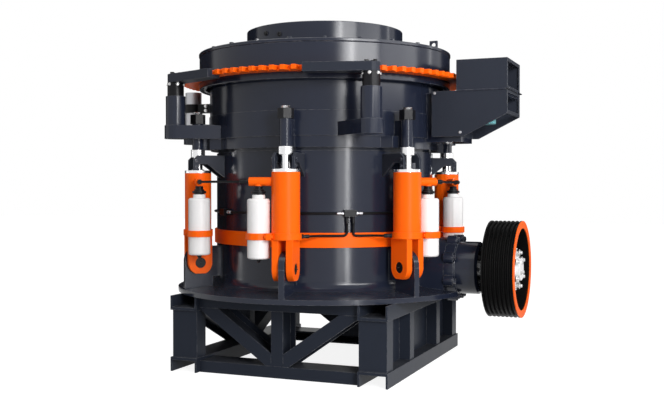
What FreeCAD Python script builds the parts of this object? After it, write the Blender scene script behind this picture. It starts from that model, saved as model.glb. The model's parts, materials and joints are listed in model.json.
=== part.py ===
import FreeCAD, Part
import math
import os

os.makedirs("parts", exist_ok=True)

V = FreeCAD.Vector
UP = V(0, 0, 1)
CENTRE = V(0, 0, 0)

# Cone crusher on its welded stand, in millimetres.
# Origin: crusher axis at floor level. +Z up, +X along the countershaft towards the sheave.

# Clearances, and how far pieces run into what they are cast or welded to
seat_gap = 0.3
thread_gap = 0.5
running_gap = 6.0
weld_in = 10.0
root_in = 30.0
past = 1.0

# Stand: two side channels, four cross channels, corner posts, H-section bracing
stand_height = 596.0
stand_outer_x = 901.0
channel_width = 233.0
channel_leg = 90.0
channel_web = 23.0
channel_leg_thk = 16.0
skid_half_length = 1000.0
cross_set_back = 56.0
cross_depth = 240.0
cross_plate = 16.0
corner_post_in = 11.0
corner_post_width = 218.0
corner_post_set_back = 20.0
corner_post_depth = 135.0
brace_face = 105.0
brace_plate = 14.0
brace_top_in = 70.0
brace_foot_x = 6.0
centre_post_face = 100.0
side_brace_top_in = 55.0
side_brace_depth = 200.0
side_panel_in = 90.0
side_panel_thk = 14.0
side_rib_y = 375.0
side_rib_width = 100.0
anchor_x = 450.0
anchor_in = 122.0
anchor_hole_r = 17.0

# Main frame casting
shell_r = 908.0
shell_wall = 58.0
shell_height = 1128.7
frame_flange_thk = 37.0
frame_flange_past_cylinders = 128.0
frame_foot_sweep = 77.0
frame_foot_rise = 24.0
seat_inset = 12.0
seat_height = 21.0
band_lift = 395.7
band_height = 112.0
band_thk = 19.0
hub_r = 300.0
hub_lift = 43.7
arm_width = 90.0
arm_height = 260.0
arm_angles = (90.0, 180.0, 270.0)

# Adjustment ring, its ears, arms and lift-guard posts
ring_past_shell = 63.0
ring_wall = 111.0
ring_height = 654.0
ring_foot_step = 13.0
ring_foot_height = 87.0
ring_step_height = 278.0
ring_neck_step = 6.0
ear_height = 204.0
ear_tube_wall = 10.0
ear_web_thk = 46.0
ear_boss_in = 75.0
ear_boss_foot = 150.0
ear_boss_nose = 80.0
arm_lift = 84.0
arm_thk = 105.0
arm_past_post = 10.0
arm_skew = 12.0
post_off_drive = 86.0
post_angles = (-52.4, -135.0, 52.4, 135.0)
post_turn = 22.6
post_r = 78.0
post_collar_r = 65.0
post_collar_height = 108.0
plate_lip = 70.0
plate_lip_thk = 25.0
plate_past_drive = 45.0
steady_angle = 180.0
steady_off_drive = 84.0
steady_r = 72.0
steady_clamp_lift = 175.0
steady_clamp_thk = 77.0
steady_clamp_wall = 8.0

# Drive ring
drive_lift = 50.0
drive_thk = 36.0
drive_ring_width = 138.0
tooth_depth = 54.0
tooth_count = 89
tooth_gap_share = 0.2
tooth_flank_share = 0.2
tooth_tip_share = 0.4

# Cap, hopper and bowl
cap_lift = 503.0
cap_height = 271.0
cap_off_ring = 79.0
cap_wall = 50.0
cover_thk = 25.0
cover_lip = 5.0
hopper_past_liner = 110.0
hopper_wall = 30.0
hopper_height = 195.0
liner_top_in = 363.0
liner_drop = 46.0
liner_height = 600.0
liner_wall = 60.0
bowl_foot_clear = 18.0
bowl_foot_wall = 31.7
bowl_shoulder = 30.0
lifting_lug_angles = (-5.0, 175.0)
lifting_lug_in = 70.0
lifting_lug_width = 62.0
lifting_lug_thk = 24.0
lifting_lug_height = 68.0
lifting_lug_eye_r = 20.0

# Head, mantle and eccentric
closed_gap = 50.0
feed_gap = 145.0
mantle_foot_flare = 20.0
mantle_foot_drop = 50.0
mantle_tail = 60.0
mantle_top_drop = 140.0
mantle_wall = 55.0
eccentric_r = 430.0
eccentric_height = 210.0
feed_plate_step = 140.0
feed_plate_thk = 45.0
lock_bolt_r = 120.0
lock_bolt_height = 60.0

# Countershaft and sheave
shaft_height = 209.2
shaft_r = 60.0
shaft_past_hub = 80.0
tunnel_r = 190.0
tunnel_wall = 25.0
tunnel_in_hub = 40.0
boss_wall = 25.0
boss_length = 192.0
lobed_flange_width = 42.0
lobed_flange_thk = 78.0
lobe_r = 44.0
lobe_count = 8
flange_clear = 6.0
housing_width = 18.0
housing_length = 235.0
end_cap_step = 20.0
end_cap_thk = 20.0
sheave_clear = 70.0
sheave_width = 249.0
sheave_r = 378.0
sheave_grooves = 7
groove_depth = 22.0
groove_edge_share = 0.08
groove_floor_share = 0.36
sheave_land_share = 0.2
sheave_rim_wall = 36.0
sheave_web_thk = 40.0
sheave_web_recess = 95.0
face_ring_thk = 6.0
bushing_r = 165.0
bushing_thk = 45.0
bushing_nose_r = 88.0
bushing_nose = 42.0

# Tramp-release cylinders
cylinder_angles = (36.5, 100.5, 165.0, 225.0, 277.5, 326.8)
cylinder_off_shell = 192.0
barrel_r = 105.0
barrel_lift = 464.7
rod_show = 188.0
gland_thk = 22.0
rod_r = 36.0
rod_in_barrel = 258.0
rod_past_nut = 18.0
collar_wall = 20.0
collar_height = 60.0
ear_eye = 86.0
ear_radial = 190.0
ear_thk = 50.0
lug_clear = 6.5
pin_lift = 249.7
pin_r = 42.0
pin_inset = 4.0
lug_thk = 45.0
lug_nose_r = 114.0
lug_rise = 129.0
lug_nose_lift = 15.0
nut_flats = 108.0
nut_height = 76.0
gusset_clear = 11.0
gusset_thk = 20.0
gusset_foot_drop = 52.0
gusset_knee_in = 55.0
gusset_knee_lift = 50.0
gusset_tab_out = 14.0
gusset_past_rod = 60.0
gusset_corner = 35.0
gusset_high_drop = 46.0

# Accumulators
bottle_r = 85.0
bottle_length = 445.0
bottle_shoulder = 18.0
bottle_neck_r = 48.0
bottle_neck = 28.0
bottle_gap = 12.5
bottle_swing_angles = (95.0, 85.0, 85.0, 78.0, 82.0, 90.0)
bottle_drop = 125.0
tee_drop = 70.0
tee_r = 33.0
tee_stub_r = 27.0
tee_past = 70.0
valve_r = 40.0
valve_step = 10.0
valve_top = 25.0
bracket_thk = 49.0
bracket_rim = 12.0
bracket_waist = 40.0
bracket_ear_reach = 108.0
bottle_hands = "RLRLRL"

# Hydraulic lines and their blocks
hose_r = 9.0
hose_bend = 45.0
hose_bend_share = 0.45
hose_lead = 60.0
hose_off_band = 19.0
line_off_shell = 14.0
line_lift = 146.0
port_lift = 22.0
port_deg = 120.0
port_leave_deg = 4.0
block_angles = (-126.7, -55.7, 62.1)
block_half_width = 47.0
block_half_height = 25.0
block_depth = 34.0
drop_aside = 24.0
drop_wrap_steps = 3

# Ring drive housing
drive_box_half_y = 250.0
drive_box_off_ring = 36.0
drive_box_lift = 95.0
drive_box_below_ring = 104.0
drive_box_cut_out = 62.0
drive_box_cut_rise = 168.0
drive_box_wall = 12.0
drive_window_frame = 26.0
drive_cover_off = 9.0
drive_cover_depth = 397.0
drive_cover_height = 237.0
drive_seat_half_y = 180.0
drive_seat_thk = 40.0
drive_motor_in = 150.0
drive_motor_r = 105.0
drive_motor_length = 205.0
motor_plate_drop = 45.0
motor_plate_thk = 25.0

# Places that follow from the sizes above
skid_inner_x = stand_outer_x - channel_width
rail_web_z = stand_height - channel_leg - channel_web
cross_face_y = skid_half_length - cross_set_back
post_outer_x = stand_outer_x - corner_post_in
post_inner_x = post_outer_x - corner_post_width
post_outer_y = skid_half_length - corner_post_set_back
post_inner_y = post_outer_y - corner_post_depth
brace_top_x = skid_inner_x - brace_top_in
side_brace_top_y = post_inner_y - side_brace_top_in
side_panel_x = post_outer_x - side_panel_in
anchor_y = cross_face_y - anchor_in

frame_base_z = stand_height + seat_gap
frame_foot_r = shell_r + frame_foot_sweep
shell_top_z = frame_base_z + shell_height
seat_outer_r = shell_r - seat_inset
band_low_z = frame_base_z + band_lift
band_high_z = band_low_z + band_height
cylinder_circle_r = shell_r + cylinder_off_shell
frame_flange_r = cylinder_circle_r + frame_flange_past_cylinders

ring_low_z = shell_top_z + seat_height
ring_r = shell_r + ring_past_shell
ring_foot_r = ring_r - ring_foot_step
ring_neck_r = ring_r - ring_neck_step
ring_foot_top_z = ring_low_z + ring_foot_height
ring_step_z = ring_low_z + ring_step_height
ring_top_z = ring_low_z + ring_height
thread_r = ring_r - ring_wall
ring_bore_r = thread_r + thread_gap
cap_r = ring_r + cap_off_ring
cap_low_z = ring_low_z + cap_lift
cap_high_z = cap_low_z + cap_height
cap_top_z = cap_high_z + cover_thk
drive_low_z = cap_low_z + drive_lift
drive_r = cap_r + running_gap + drive_ring_width
post_circle_r = drive_r + post_off_drive
steady_circle_r = drive_r + steady_off_drive
ear_top_z = ring_low_z + ear_height
ear_tube_r = rod_r + ear_tube_wall
ear_boss_r = cylinder_circle_r - ear_boss_in
arm_low_z = ring_low_z + arm_lift
arm_high_z = arm_low_z + arm_thk
arm_end_r = post_r + arm_past_post
plate_low_z = drive_low_z - plate_lip_thk
plate_high_z = drive_low_z + drive_thk + running_gap
plate_outer = drive_r + running_gap + plate_past_drive
post_high_z = plate_low_z - post_collar_height
steady_clamp_low_z = arm_high_z + steady_clamp_lift
steady_clamp_high_z = steady_clamp_low_z + steady_clamp_thk
steady_clamp_r = steady_r + steady_clamp_wall
steady_top_z = drive_low_z - running_gap

bowl_foot_r = shell_r - shell_wall - bowl_foot_clear
liner_top_r = shell_r - liner_top_in
liner_foot_r = bowl_foot_r - bowl_foot_wall - seat_gap - liner_wall
liner_foot_z = ring_low_z - liner_drop
liner_top_z = liner_foot_z + liner_height
hopper_r = liner_top_r + hopper_past_liner
hopper_high_z = cap_top_z + hopper_height
lifting_lug_r = cap_r - lifting_lug_in
mantle_skirt_r = liner_foot_r - closed_gap
mantle_foot_r = mantle_skirt_r + mantle_foot_flare
mantle_skirt_z = liner_foot_z - mantle_foot_drop
head_foot_z = mantle_skirt_z - mantle_tail
mantle_top_r = liner_top_r - feed_gap
mantle_top_z = liner_top_z - mantle_top_drop
feed_plate_r = mantle_top_r - feed_plate_step
hub_base_z = frame_base_z + hub_lift
hub_top_z = head_foot_z - eccentric_height
arm_top_z = hub_base_z + arm_height

shaft_z = frame_base_z + shaft_height
shaft_inner_x = hub_r + shaft_past_hub
boss_r = tunnel_r + tunnel_wall + boss_wall
boss_face_x = shell_r + boss_length
lobed_flange_r = tunnel_r + lobed_flange_width
housing_r = tunnel_r + housing_width
housing_face_x = boss_face_x + housing_length
end_cap_r = housing_r - end_cap_step
sheave_face_x = housing_face_x + end_cap_thk + sheave_clear + sheave_width
web_face_x = sheave_face_x - sheave_web_recess
face_hollow_r = sheave_r - groove_depth - sheave_rim_wall

barrel_low_z = frame_base_z + barrel_lift
barrel_high_z = ring_low_z - rod_show
gland_high_z = barrel_high_z + gland_thk
rod_foot_z = barrel_high_z - rod_in_barrel
rod_top_z = ear_top_z + nut_height + rod_past_nut
collar_r = rod_r + collar_wall
pin_z = frame_base_z + pin_lift
ear_slot = lug_thk + 2 * lug_clear
pin_length = ear_slot + 2 * ear_thk - 2 * pin_inset
lug_outer_r = cylinder_circle_r + lug_nose_r
lug_top_z = pin_z + lug_rise
gusset_aside = collar_r + gusset_clear
tee_z = barrel_high_z - tee_drop
bottle_high_z = tee_z - bottle_drop
bottle_low_z = bottle_high_z - bottle_length
bottle_reach = barrel_r + bottle_r + bottle_gap
bracket_low_z = barrel_low_z
bracket_high_z = bracket_low_z + bracket_thk
line_z = band_high_z + line_lift
port_z = bracket_low_z + port_lift
hose_wrap_r = shell_r + band_thk + hose_off_band

drive_box_inner_x = ring_r + drive_box_off_ring
drive_cover_inner_x = drive_r + drive_cover_off
drive_box_outer_x = drive_cover_inner_x + drive_cover_depth
drive_box_low_z = ring_low_z + drive_box_lift
drive_box_split_z = drive_low_z - drive_box_below_ring
drive_box_high_z = drive_box_split_z + drive_cover_height
drive_box_cut_x = drive_cover_inner_x + drive_box_cut_out
drive_box_cut_z = drive_box_low_z + drive_box_cut_rise
drive_motor_x = drive_cover_inner_x + drive_motor_in
motor_plate_z = drive_box_split_z - motor_plate_drop


def polar(radius, degrees, z=0.0):
    """Point on a circle about the crusher axis."""
    angle = math.radians(degrees)
    return V(radius * math.cos(angle), radius * math.sin(angle), z)


def box(x0, x1, y0, y1, z0, z1):
    """Box between two corners."""
    return Part.makeBox(x1 - x0, y1 - y0, z1 - z0, V(x0, y0, z0))


def post(radius, z0, z1, x=0.0, y=0.0):
    """Upright cylinder."""
    return Part.makeCylinder(radius, z1 - z0, V(x, y, z0), UP)


def lying(radius, x0, x1, z=shaft_z):
    """Cylinder along the countershaft."""
    return Part.makeCylinder(radius, x1 - x0, V(x0, 0, z), V(1, 0, 0))


def tangential(radius, half_length, x, z):
    """Cylinder along Y, tangential for a piece that is drawn on the X axis."""
    return Part.makeCylinder(radius, 2 * half_length, V(x, -half_length, z), V(0, 1, 0))


def turned(shape, degrees):
    """Copy of a shape turned about the crusher axis."""
    copy = shape.copy()
    copy.rotate(CENTRE, UP, degrees)
    return copy


def mirrored_y(shape):
    """Mirror image across the XZ plane."""
    return shape.mirror(CENTRE, V(0, 1, 0))


def mirrored_x(shape):
    """Mirror image across the YZ plane."""
    return shape.mirror(CENTRE, V(1, 0, 0))


def outline(points):
    """Flat face from plain corner points."""
    return Part.Face(Part.makePolygon(points + [points[0]]))


def revolved(points):
    """Solid of revolution about the crusher axis from radius and height pairs."""
    return outline([V(r, 0, z) for r, z in points]).revolve(CENTRE, UP, 360)


def fused(shapes):
    """One solid from pieces that meet."""
    return shapes[0].multiFuse(shapes[1:]).removeSplitter()


def save(name, shapes):
    """Write one node; its solids stay apart from each other."""
    shape = shapes[0] if len(shapes) == 1 else Part.makeCompound(shapes)
    shape.exportStep("parts/" + name + ".step")
    print(name, len(shape.Solids), round(shape.Volume / 1e9, 4), shape.isValid())


bottle_swings = [math.radians(swing if hand == "L" else -swing)
                 for hand, swing in zip(bottle_hands, bottle_swing_angles)]


# Stand

def channel(z_web, z_leg):
    """One side channel along Y with two legs on its web plate."""
    web = box(skid_inner_x, stand_outer_x, -skid_half_length, skid_half_length, z_web, z_web + channel_web)
    legs = [
        box(x, x + channel_leg_thk, -skid_half_length, skid_half_length, z_leg, z_leg + channel_leg)
        for x in (skid_inner_x, stand_outer_x - channel_leg_thk)
    ]
    return fused([web] + legs)


def cross_channel(z0):
    """Front cross channel: upright face plate with a top and a bottom flange."""
    y0 = -cross_face_y
    y1 = y0 + cross_depth
    face = box(-skid_inner_x, skid_inner_x, y0, y0 + cross_plate, z0, z0 + channel_leg)
    low = box(-skid_inner_x, skid_inner_x, y0, y1, z0, z0 + cross_plate)
    high = box(-skid_inner_x, skid_inner_x, y0, y1, z0 + channel_leg - cross_plate, z0 + channel_leg)
    return fused([face, low, high])


def h_bar(width, y0, y1):
    """H-section bar along Z between two planes, its flanges facing front and back."""
    length = 2 * stand_height
    front = box(-width / 2, width / 2, y0, y0 + brace_plate, -length, length)
    back = box(-width / 2, width / 2, y1 - brace_plate, y1, -length, length)
    web = box(-brace_plate / 2, brace_plate / 2, y0, y1, -length, length)
    return fused([front, back, web])


def diagonal(top_x, outer_x, y0, y1, low, high):
    """Diagonal from a top corner to the foot of a centre post, cut to its clear space."""
    top = V(-top_x, 0, high)
    foot = V(-brace_foot_x, 0, low)
    run = foot - top
    bar = h_bar(brace_face, y0, y1)
    bar.rotate(CENTRE, V(0, 1, 0), math.degrees(math.atan2(run.x, run.z)))
    bar.translate(top)
    return bar.common(box(-outer_x, -centre_post_face / 2, y0, y1, low, high))


def centre_bar(y0, y1, low, high):
    """Upright H-section bar at the middle of one side."""
    bar = h_bar(centre_post_face, y0, y1)
    return bar.common(box(-centre_post_face, centre_post_face, y0, y1, low, high))


def anchored(beam):
    """Cross channel with its two foundation bolt holes in the bottom flange."""
    for x in (-anchor_x, anchor_x):
        beam = beam.cut(post(anchor_hole_r, -past, cross_plate + past, x, -anchor_y))
    return beam


def side_wall():
    """Right side panel with its two upright ribs."""
    low = channel_leg + channel_web
    panel = box(side_panel_x - side_panel_thk, side_panel_x, -post_inner_y, post_inner_y, low, rail_web_z)
    ribs = [
        box(side_panel_x, post_outer_x, y - side_rib_width / 2, y + side_rib_width / 2, low, rail_web_z)
        for y in (-side_rib_y, side_rib_y)
    ]
    return fused([panel] + ribs)


skid = channel(channel_leg, 0)
rail = channel(rail_web_z, rail_web_z + channel_web)
save("stand_skids", [skid, mirrored_x(skid)])
save("stand_top_rails", [rail, mirrored_x(rail)])

low_beam = anchored(cross_channel(0))
high_beam = cross_channel(stand_height - channel_leg)
save("stand_foot_beams", [low_beam, mirrored_y(low_beam)])
save("stand_head_beams", [high_beam, mirrored_y(high_beam)])

corner = box(post_inner_x, post_outer_x, -post_outer_y, -post_inner_y, channel_leg + channel_web, rail_web_z)
corners = [corner, mirrored_x(corner)]
save("stand_corner_posts", corners + [mirrored_y(c) for c in corners])

front = (-cross_face_y, -cross_face_y + cross_depth)
front_low = channel_leg
front_high = stand_height - channel_leg
centre_post = centre_bar(*front, front_low, front_high)
save("stand_centre_posts", [centre_post, mirrored_y(centre_post)])

left_brace = diagonal(brace_top_x, skid_inner_x, *front, front_low, front_high)
right_brace = mirrored_x(left_brace)
save("stand_left_braces", [left_brace, mirrored_y(left_brace)])
save("stand_right_braces", [right_brace, mirrored_y(right_brace)])

side = (-post_outer_x, -post_outer_x + side_brace_depth)
side_low = channel_leg + channel_web
side_post = turned(centre_bar(*side, side_low, rail_web_z), -90)
side_brace = turned(diagonal(side_brace_top_y, post_inner_y, *side, side_low, rail_web_z), -90)
save("stand_side_post", [side_post])
save("stand_side_braces", [side_brace, mirrored_y(side_brace)])
save("stand_side_wall", [side_wall()])


# Main frame

def over_rail():
    """Space that the boss and its tunnel leave for the top rail of the stand."""
    return box(0, stand_outer_x + seat_gap, -boss_r, boss_r, 0, frame_base_z)


def main_shell():
    """Cast shell: wide base flange, swept foot, straight barrel and the ring seat on top."""
    flange_top = frame_base_z + frame_flange_thk
    foot_z = flange_top + frame_foot_rise
    sweep = frame_foot_r - shell_r
    inner = shell_r - shell_wall
    mid = sweep * (1 - math.sqrt(0.5))
    edges = [
        Part.makeLine(V(inner, 0, frame_base_z), V(frame_flange_r, 0, frame_base_z)),
        Part.makeLine(V(frame_flange_r, 0, frame_base_z), V(frame_flange_r, 0, flange_top)),
        Part.makeLine(V(frame_flange_r, 0, flange_top), V(frame_foot_r, 0, foot_z)),
        Part.Arc(V(frame_foot_r, 0, foot_z), V(shell_r + mid, 0, foot_z + mid),
                 V(shell_r, 0, foot_z + sweep)).toShape(),
        Part.makeLine(V(shell_r, 0, foot_z + sweep), V(shell_r, 0, shell_top_z)),
        Part.makeLine(V(shell_r, 0, shell_top_z), V(seat_outer_r, 0, shell_top_z)),
        Part.makeLine(V(seat_outer_r, 0, shell_top_z), V(seat_outer_r, 0, ring_low_z - seat_gap)),
        Part.makeLine(V(seat_outer_r, 0, ring_low_z - seat_gap), V(inner, 0, ring_low_z - seat_gap)),
        Part.makeLine(V(inner, 0, ring_low_z - seat_gap), V(inner, 0, frame_base_z)),
    ]
    shell = Part.Face(Part.Wire(edges)).revolve(CENTRE, UP, 360)
    boss = lying(boss_r, inner + weld_in, boss_face_x)
    skirt = box(inner + weld_in, boss_face_x, -boss_r, boss_r, frame_base_z, shaft_z)
    body = fused([shell, boss, skirt])
    flange_pocket = lying(lobed_flange_r + lobe_r + flange_clear, boss_face_x, frame_flange_r + past)
    body = body.cut(lying(tunnel_r + tunnel_wall, 0, boss_face_x + past)).cut(flange_pocket)
    return body.cut(over_rail())


def frame_hub():
    """Centre hub, three arms and the countershaft tunnel."""
    inner = shell_r - shell_wall
    hub = post(hub_r, hub_base_z, hub_top_z)
    reach = post(inner, hub_base_z, hub_top_z)
    arm = box(0, inner + weld_in, -arm_width / 2, arm_width / 2, hub_base_z, arm_top_z)
    arms = [turned(arm, angle).common(reach) for angle in arm_angles]
    tunnel = lying(tunnel_r + tunnel_wall - seat_gap, 0, boss_face_x)
    body = fused([hub] + arms + [tunnel])
    return body.cut(lying(tunnel_r, hub_r - tunnel_in_hub, boss_face_x + past)).cut(over_rail())


save("main_frame", [main_shell()])
save("main_frame_hub", [frame_hub()])
band = post(shell_r + band_thk, band_low_z, band_high_z)
band = band.cut(post(shell_r, band_low_z - past, band_high_z + past))
save("frame_band", [band.cut(lying(boss_r + seat_gap, 0, boss_face_x))])


# Head and crushing parts

def cone_ring(foot_r, foot_z, top_r, top_z, wall, tail):
    """Conical lining with a straight tail below, its wall measured level."""
    return revolved([
        (foot_r, foot_z), (tail[0], tail[1]), (tail[0] - wall, tail[1]),
        (foot_r - wall, foot_z), (top_r - wall, top_z), (top_r, top_z)])


mantle = cone_ring(mantle_skirt_r, mantle_skirt_z, mantle_top_r, mantle_top_z, mantle_wall,
                   (mantle_foot_r, head_foot_z))
head = revolved([
    (0, head_foot_z), (mantle_foot_r - mantle_wall - seat_gap, head_foot_z),
    (mantle_skirt_r - mantle_wall - seat_gap, mantle_skirt_z),
    (mantle_top_r - mantle_wall - seat_gap, mantle_top_z), (0, mantle_top_z)])
save("mantle", [mantle])
save("crusher_head", [head])
save("eccentric", [post(eccentric_r, hub_top_z, head_foot_z)])
plate = post(mantle_top_r, mantle_top_z, mantle_top_z + feed_plate_thk)
cone_nut = post(feed_plate_r, mantle_top_z, mantle_top_z + 2 * feed_plate_thk)
bolt_head = post(lock_bolt_r, mantle_top_z, mantle_top_z + 2 * feed_plate_thk + lock_bolt_height)
save("feed_plate", [fused([plate, cone_nut, bolt_head])])


# Countershaft

def countershaft_housing():
    """Bearing sleeve with a lobed bolting flange and a chamfered end cap."""
    sleeve = lying(tunnel_r - seat_gap, hub_r, boss_face_x)
    flange = lying(lobed_flange_r, boss_face_x, boss_face_x + lobed_flange_thk)
    lobes = []
    for i in range(lobe_count):
        angle = math.radians(360.0 * (i + 0.5) / lobe_count)
        y = lobed_flange_r * math.cos(angle)
        z = shaft_z + lobed_flange_r * math.sin(angle)
        lobes.append(Part.makeCylinder(lobe_r, lobed_flange_thk, V(boss_face_x, y, z), V(1, 0, 0)))
    barrel = lying(housing_r, boss_face_x, housing_face_x)
    cap = Part.makeCone(housing_r, end_cap_r, end_cap_thk, V(housing_face_x, 0, shaft_z), V(1, 0, 0))
    body = fused([sleeve, flange, barrel, cap] + lobes)
    return body.cut(lying(shaft_r + seat_gap, 0, housing_face_x + end_cap_thk + past))


def sheave():
    """Multi-groove sheave with a rim, a recessed web and a hub bore."""
    inner_x = sheave_face_x - sheave_width
    rim_r = sheave_r - groove_depth
    pitch = (sheave_width - face_ring_thk) / (sheave_grooves + 2 * sheave_land_share)
    start = inner_x + sheave_land_share * pitch
    edge = groove_edge_share * pitch
    floor = groove_floor_share * pitch
    points = [V(inner_x, 0, 0), V(inner_x, 0, sheave_r)]
    for i in range(sheave_grooves):
        x = start + i * pitch
        points += [V(x + edge, 0, sheave_r), V(x + floor, 0, rim_r),
                   V(x + pitch - floor, 0, rim_r), V(x + pitch - edge, 0, sheave_r)]
    face_x = sheave_face_x - face_ring_thk
    points += [V(face_x, 0, sheave_r), V(face_x, 0, 0)]
    solid = outline(points).revolve(CENTRE, V(1, 0, 0), 360)
    solid.translate(V(0, 0, shaft_z))
    web_x = web_face_x - sheave_web_thk
    front = lying(face_hollow_r, web_face_x, sheave_face_x + past)
    back = lying(face_hollow_r, inner_x - past, web_x)
    back = back.cut(lying(bushing_r, inner_x - 2 * past, web_x + past))
    bore = lying(shaft_r, inner_x - past, sheave_face_x + past)
    return solid.cut(front).cut(back).cut(bore)


save("countershaft_housing", [countershaft_housing()])
save("countershaft", [lying(shaft_r - seat_gap, shaft_inner_x, web_face_x + bushing_thk)])
save("sheave", [sheave()])
save("sheave_face_ring", [lying(sheave_r, sheave_face_x - face_ring_thk, sheave_face_x).cut(
    lying(face_hollow_r, sheave_face_x - face_ring_thk - past, sheave_face_x + past))])
bushing = lying(bushing_r, web_face_x, web_face_x + bushing_thk)
nose = lying(bushing_nose_r, web_face_x + bushing_thk, web_face_x + bushing_thk + bushing_nose)
bushing_bore = lying(shaft_r, web_face_x - past, web_face_x + bushing_thk)
save("sheave_bushing", [fused([bushing, nose]).cut(bushing_bore)])


# Tramp-release cylinders, drawn on the X axis and turned to their places

def barrel_with_clevis():
    """Barrel with a rod bore above and a two-eared clevis below."""
    x = cylinder_circle_r
    barrel = post(barrel_r, barrel_low_z, barrel_high_z, x)
    ears = []
    for side in (-1, 1):
        y0 = side * (ear_slot / 2 + ear_thk / 2) - ear_thk / 2
        block = box(x - ear_radial / 2, x + ear_radial / 2, y0, y0 + ear_thk, pin_z, barrel_low_z)
        rounded = Part.makeCylinder(ear_radial / 2, ear_thk, V(x, y0, pin_z), V(0, 1, 0))
        trim = box(x - ear_radial, x + ear_radial, y0, y0 + ear_thk, pin_z - ear_eye, barrel_low_z)
        ears.append(block.fuse(rounded).common(trim))
    body = fused([barrel] + ears)
    body = body.cut(tangential(pin_r, ear_slot + ear_thk, x, pin_z))
    return body.cut(post(rod_r + seat_gap, rod_foot_z - running_gap, barrel_high_z + past, x))


def release_rod():
    """Piston rod with the thrust collar under the ring ear."""
    rod = post(rod_r, rod_foot_z, rod_top_z, cylinder_circle_r)
    collar = post(collar_r, ring_low_z - collar_height - seat_gap, ring_low_z - seat_gap, cylinder_circle_r)
    return fused([rod, collar])


def hex_nut():
    """Hexagon nut on top of the ring ear."""
    corner_r = nut_flats / math.sqrt(3)
    points = [V(cylinder_circle_r, 0, 0) + V(corner_r * math.cos(math.radians(60 * i)),
                                            corner_r * math.sin(math.radians(60 * i)), ear_top_z)
              for i in range(6)]
    nut = outline(points).extrude(V(0, 0, nut_height))
    return nut.cut(post(rod_r + seat_gap, ear_top_z - past, ear_top_z + nut_height + past, cylinder_circle_r))


def frame_lug():
    """Radial lug plate between the clevis ears, standing on the base flange."""
    inner = shell_r + seat_gap
    flange_top = frame_base_z + frame_flange_thk
    plate_low = box(inner, lug_outer_r, -lug_thk / 2, lug_thk / 2, flange_top, pin_z)
    plate_high = box(inner, cylinder_circle_r, -lug_thk / 2, lug_thk / 2, pin_z, lug_top_z)
    nose = tangential(lug_nose_r, lug_thk / 2, cylinder_circle_r, pin_z + lug_nose_lift)
    body = fused([plate_low, plate_high, nose])
    core = post(frame_foot_r + seat_gap, frame_base_z, flange_top + frame_foot_rise + frame_foot_r - shell_r)
    slope = Part.makeCone(frame_flange_r, frame_foot_r, frame_foot_rise, V(0, 0, flange_top), UP)
    body = body.cut(core).cut(slope)
    return body.cut(tangential(pin_r, lug_thk, cylinder_circle_r, pin_z))


def gusset():
    """Upright plate from the shell to the edge of the gland, beside the rod."""
    inner_r = shell_r - shell_wall / 2
    knee_r = cylinder_circle_r - gusset_knee_in
    tab_r = cylinder_circle_r + gusset_tab_out
    outer_r = cylinder_circle_r + gusset_past_rod
    knee_z = gland_high_z + gusset_knee_lift
    high_z = ring_low_z - gusset_high_drop
    corners = [
        V(inner_r, 0, barrel_high_z - gusset_foot_drop), V(knee_r, 0, knee_z), V(tab_r, 0, knee_z),
        V(tab_r, 0, gland_high_z + seat_gap), V(outer_r, 0, gland_high_z + seat_gap),
        V(outer_r, 0, high_z - gusset_corner), V(outer_r - gusset_corner, 0, high_z), V(inner_r, 0, high_z)]
    plate = outline(corners).extrude(V(0, gusset_thk, 0))
    plate.translate(V(0, gusset_aside, 0))
    return plate.cut(post(shell_r + seat_gap, 0, shell_top_z + past))


barrel = barrel_with_clevis()
gland = post(barrel_r, barrel_high_z, gland_high_z, cylinder_circle_r).cut(
    post(rod_r + seat_gap, barrel_high_z - past, gland_high_z + past, cylinder_circle_r))
pin = tangential(pin_r - seat_gap, pin_length / 2, cylinder_circle_r, pin_z)


def round_crusher(shape):
    """Copies of a piece at every release cylinder."""
    return [turned(shape, angle) for angle in cylinder_angles]


# Accumulators

def beside(swing):
    """Bottle axis beside the cylinder that is drawn on the X axis."""
    return cylinder_circle_r + bottle_reach * math.cos(swing), bottle_reach * math.sin(swing)


def accumulator(swing):
    """Gas bottle with a rounded shoulder and a neck."""
    x, y = beside(swing)
    bottle = post(bottle_r, bottle_low_z, bottle_high_z, x, y)
    rims = [e for e in bottle.Edges if e.Length > bottle_r and len(e.Vertexes) == 1]
    bottle = bottle.makeFillet(bottle_shoulder, rims)
    neck = post(bottle_neck_r, bottle_high_z - weld_in, bottle_high_z + bottle_neck, x, y)
    return fused([bottle, neck])


def valve(swing):
    """Black fitting between the bottle neck and the tee."""
    x, y = beside(swing)
    low = bottle_high_z + bottle_neck
    high = tee_z - tee_r
    return fused([post(valve_r, low, high - valve_top, x, y), post(valve_r - valve_step, low, high, x, y)])


def tee(swing):
    """Manifold arm from the barrel to just past the bottle axis."""
    x, y = beside(swing)
    start = V(cylinder_circle_r, 0, tee_z)
    run = V(x, y, tee_z) - start
    length = run.Length + tee_past
    arm = Part.makeCylinder(tee_r, length, start, run)
    drop = post(tee_stub_r, tee_z - tee_r, tee_z, x, y)
    return fused([arm, drop]).cut(post(barrel_r, tee_z - 2 * tee_r, tee_z + 2 * tee_r, cylinder_circle_r))


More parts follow.
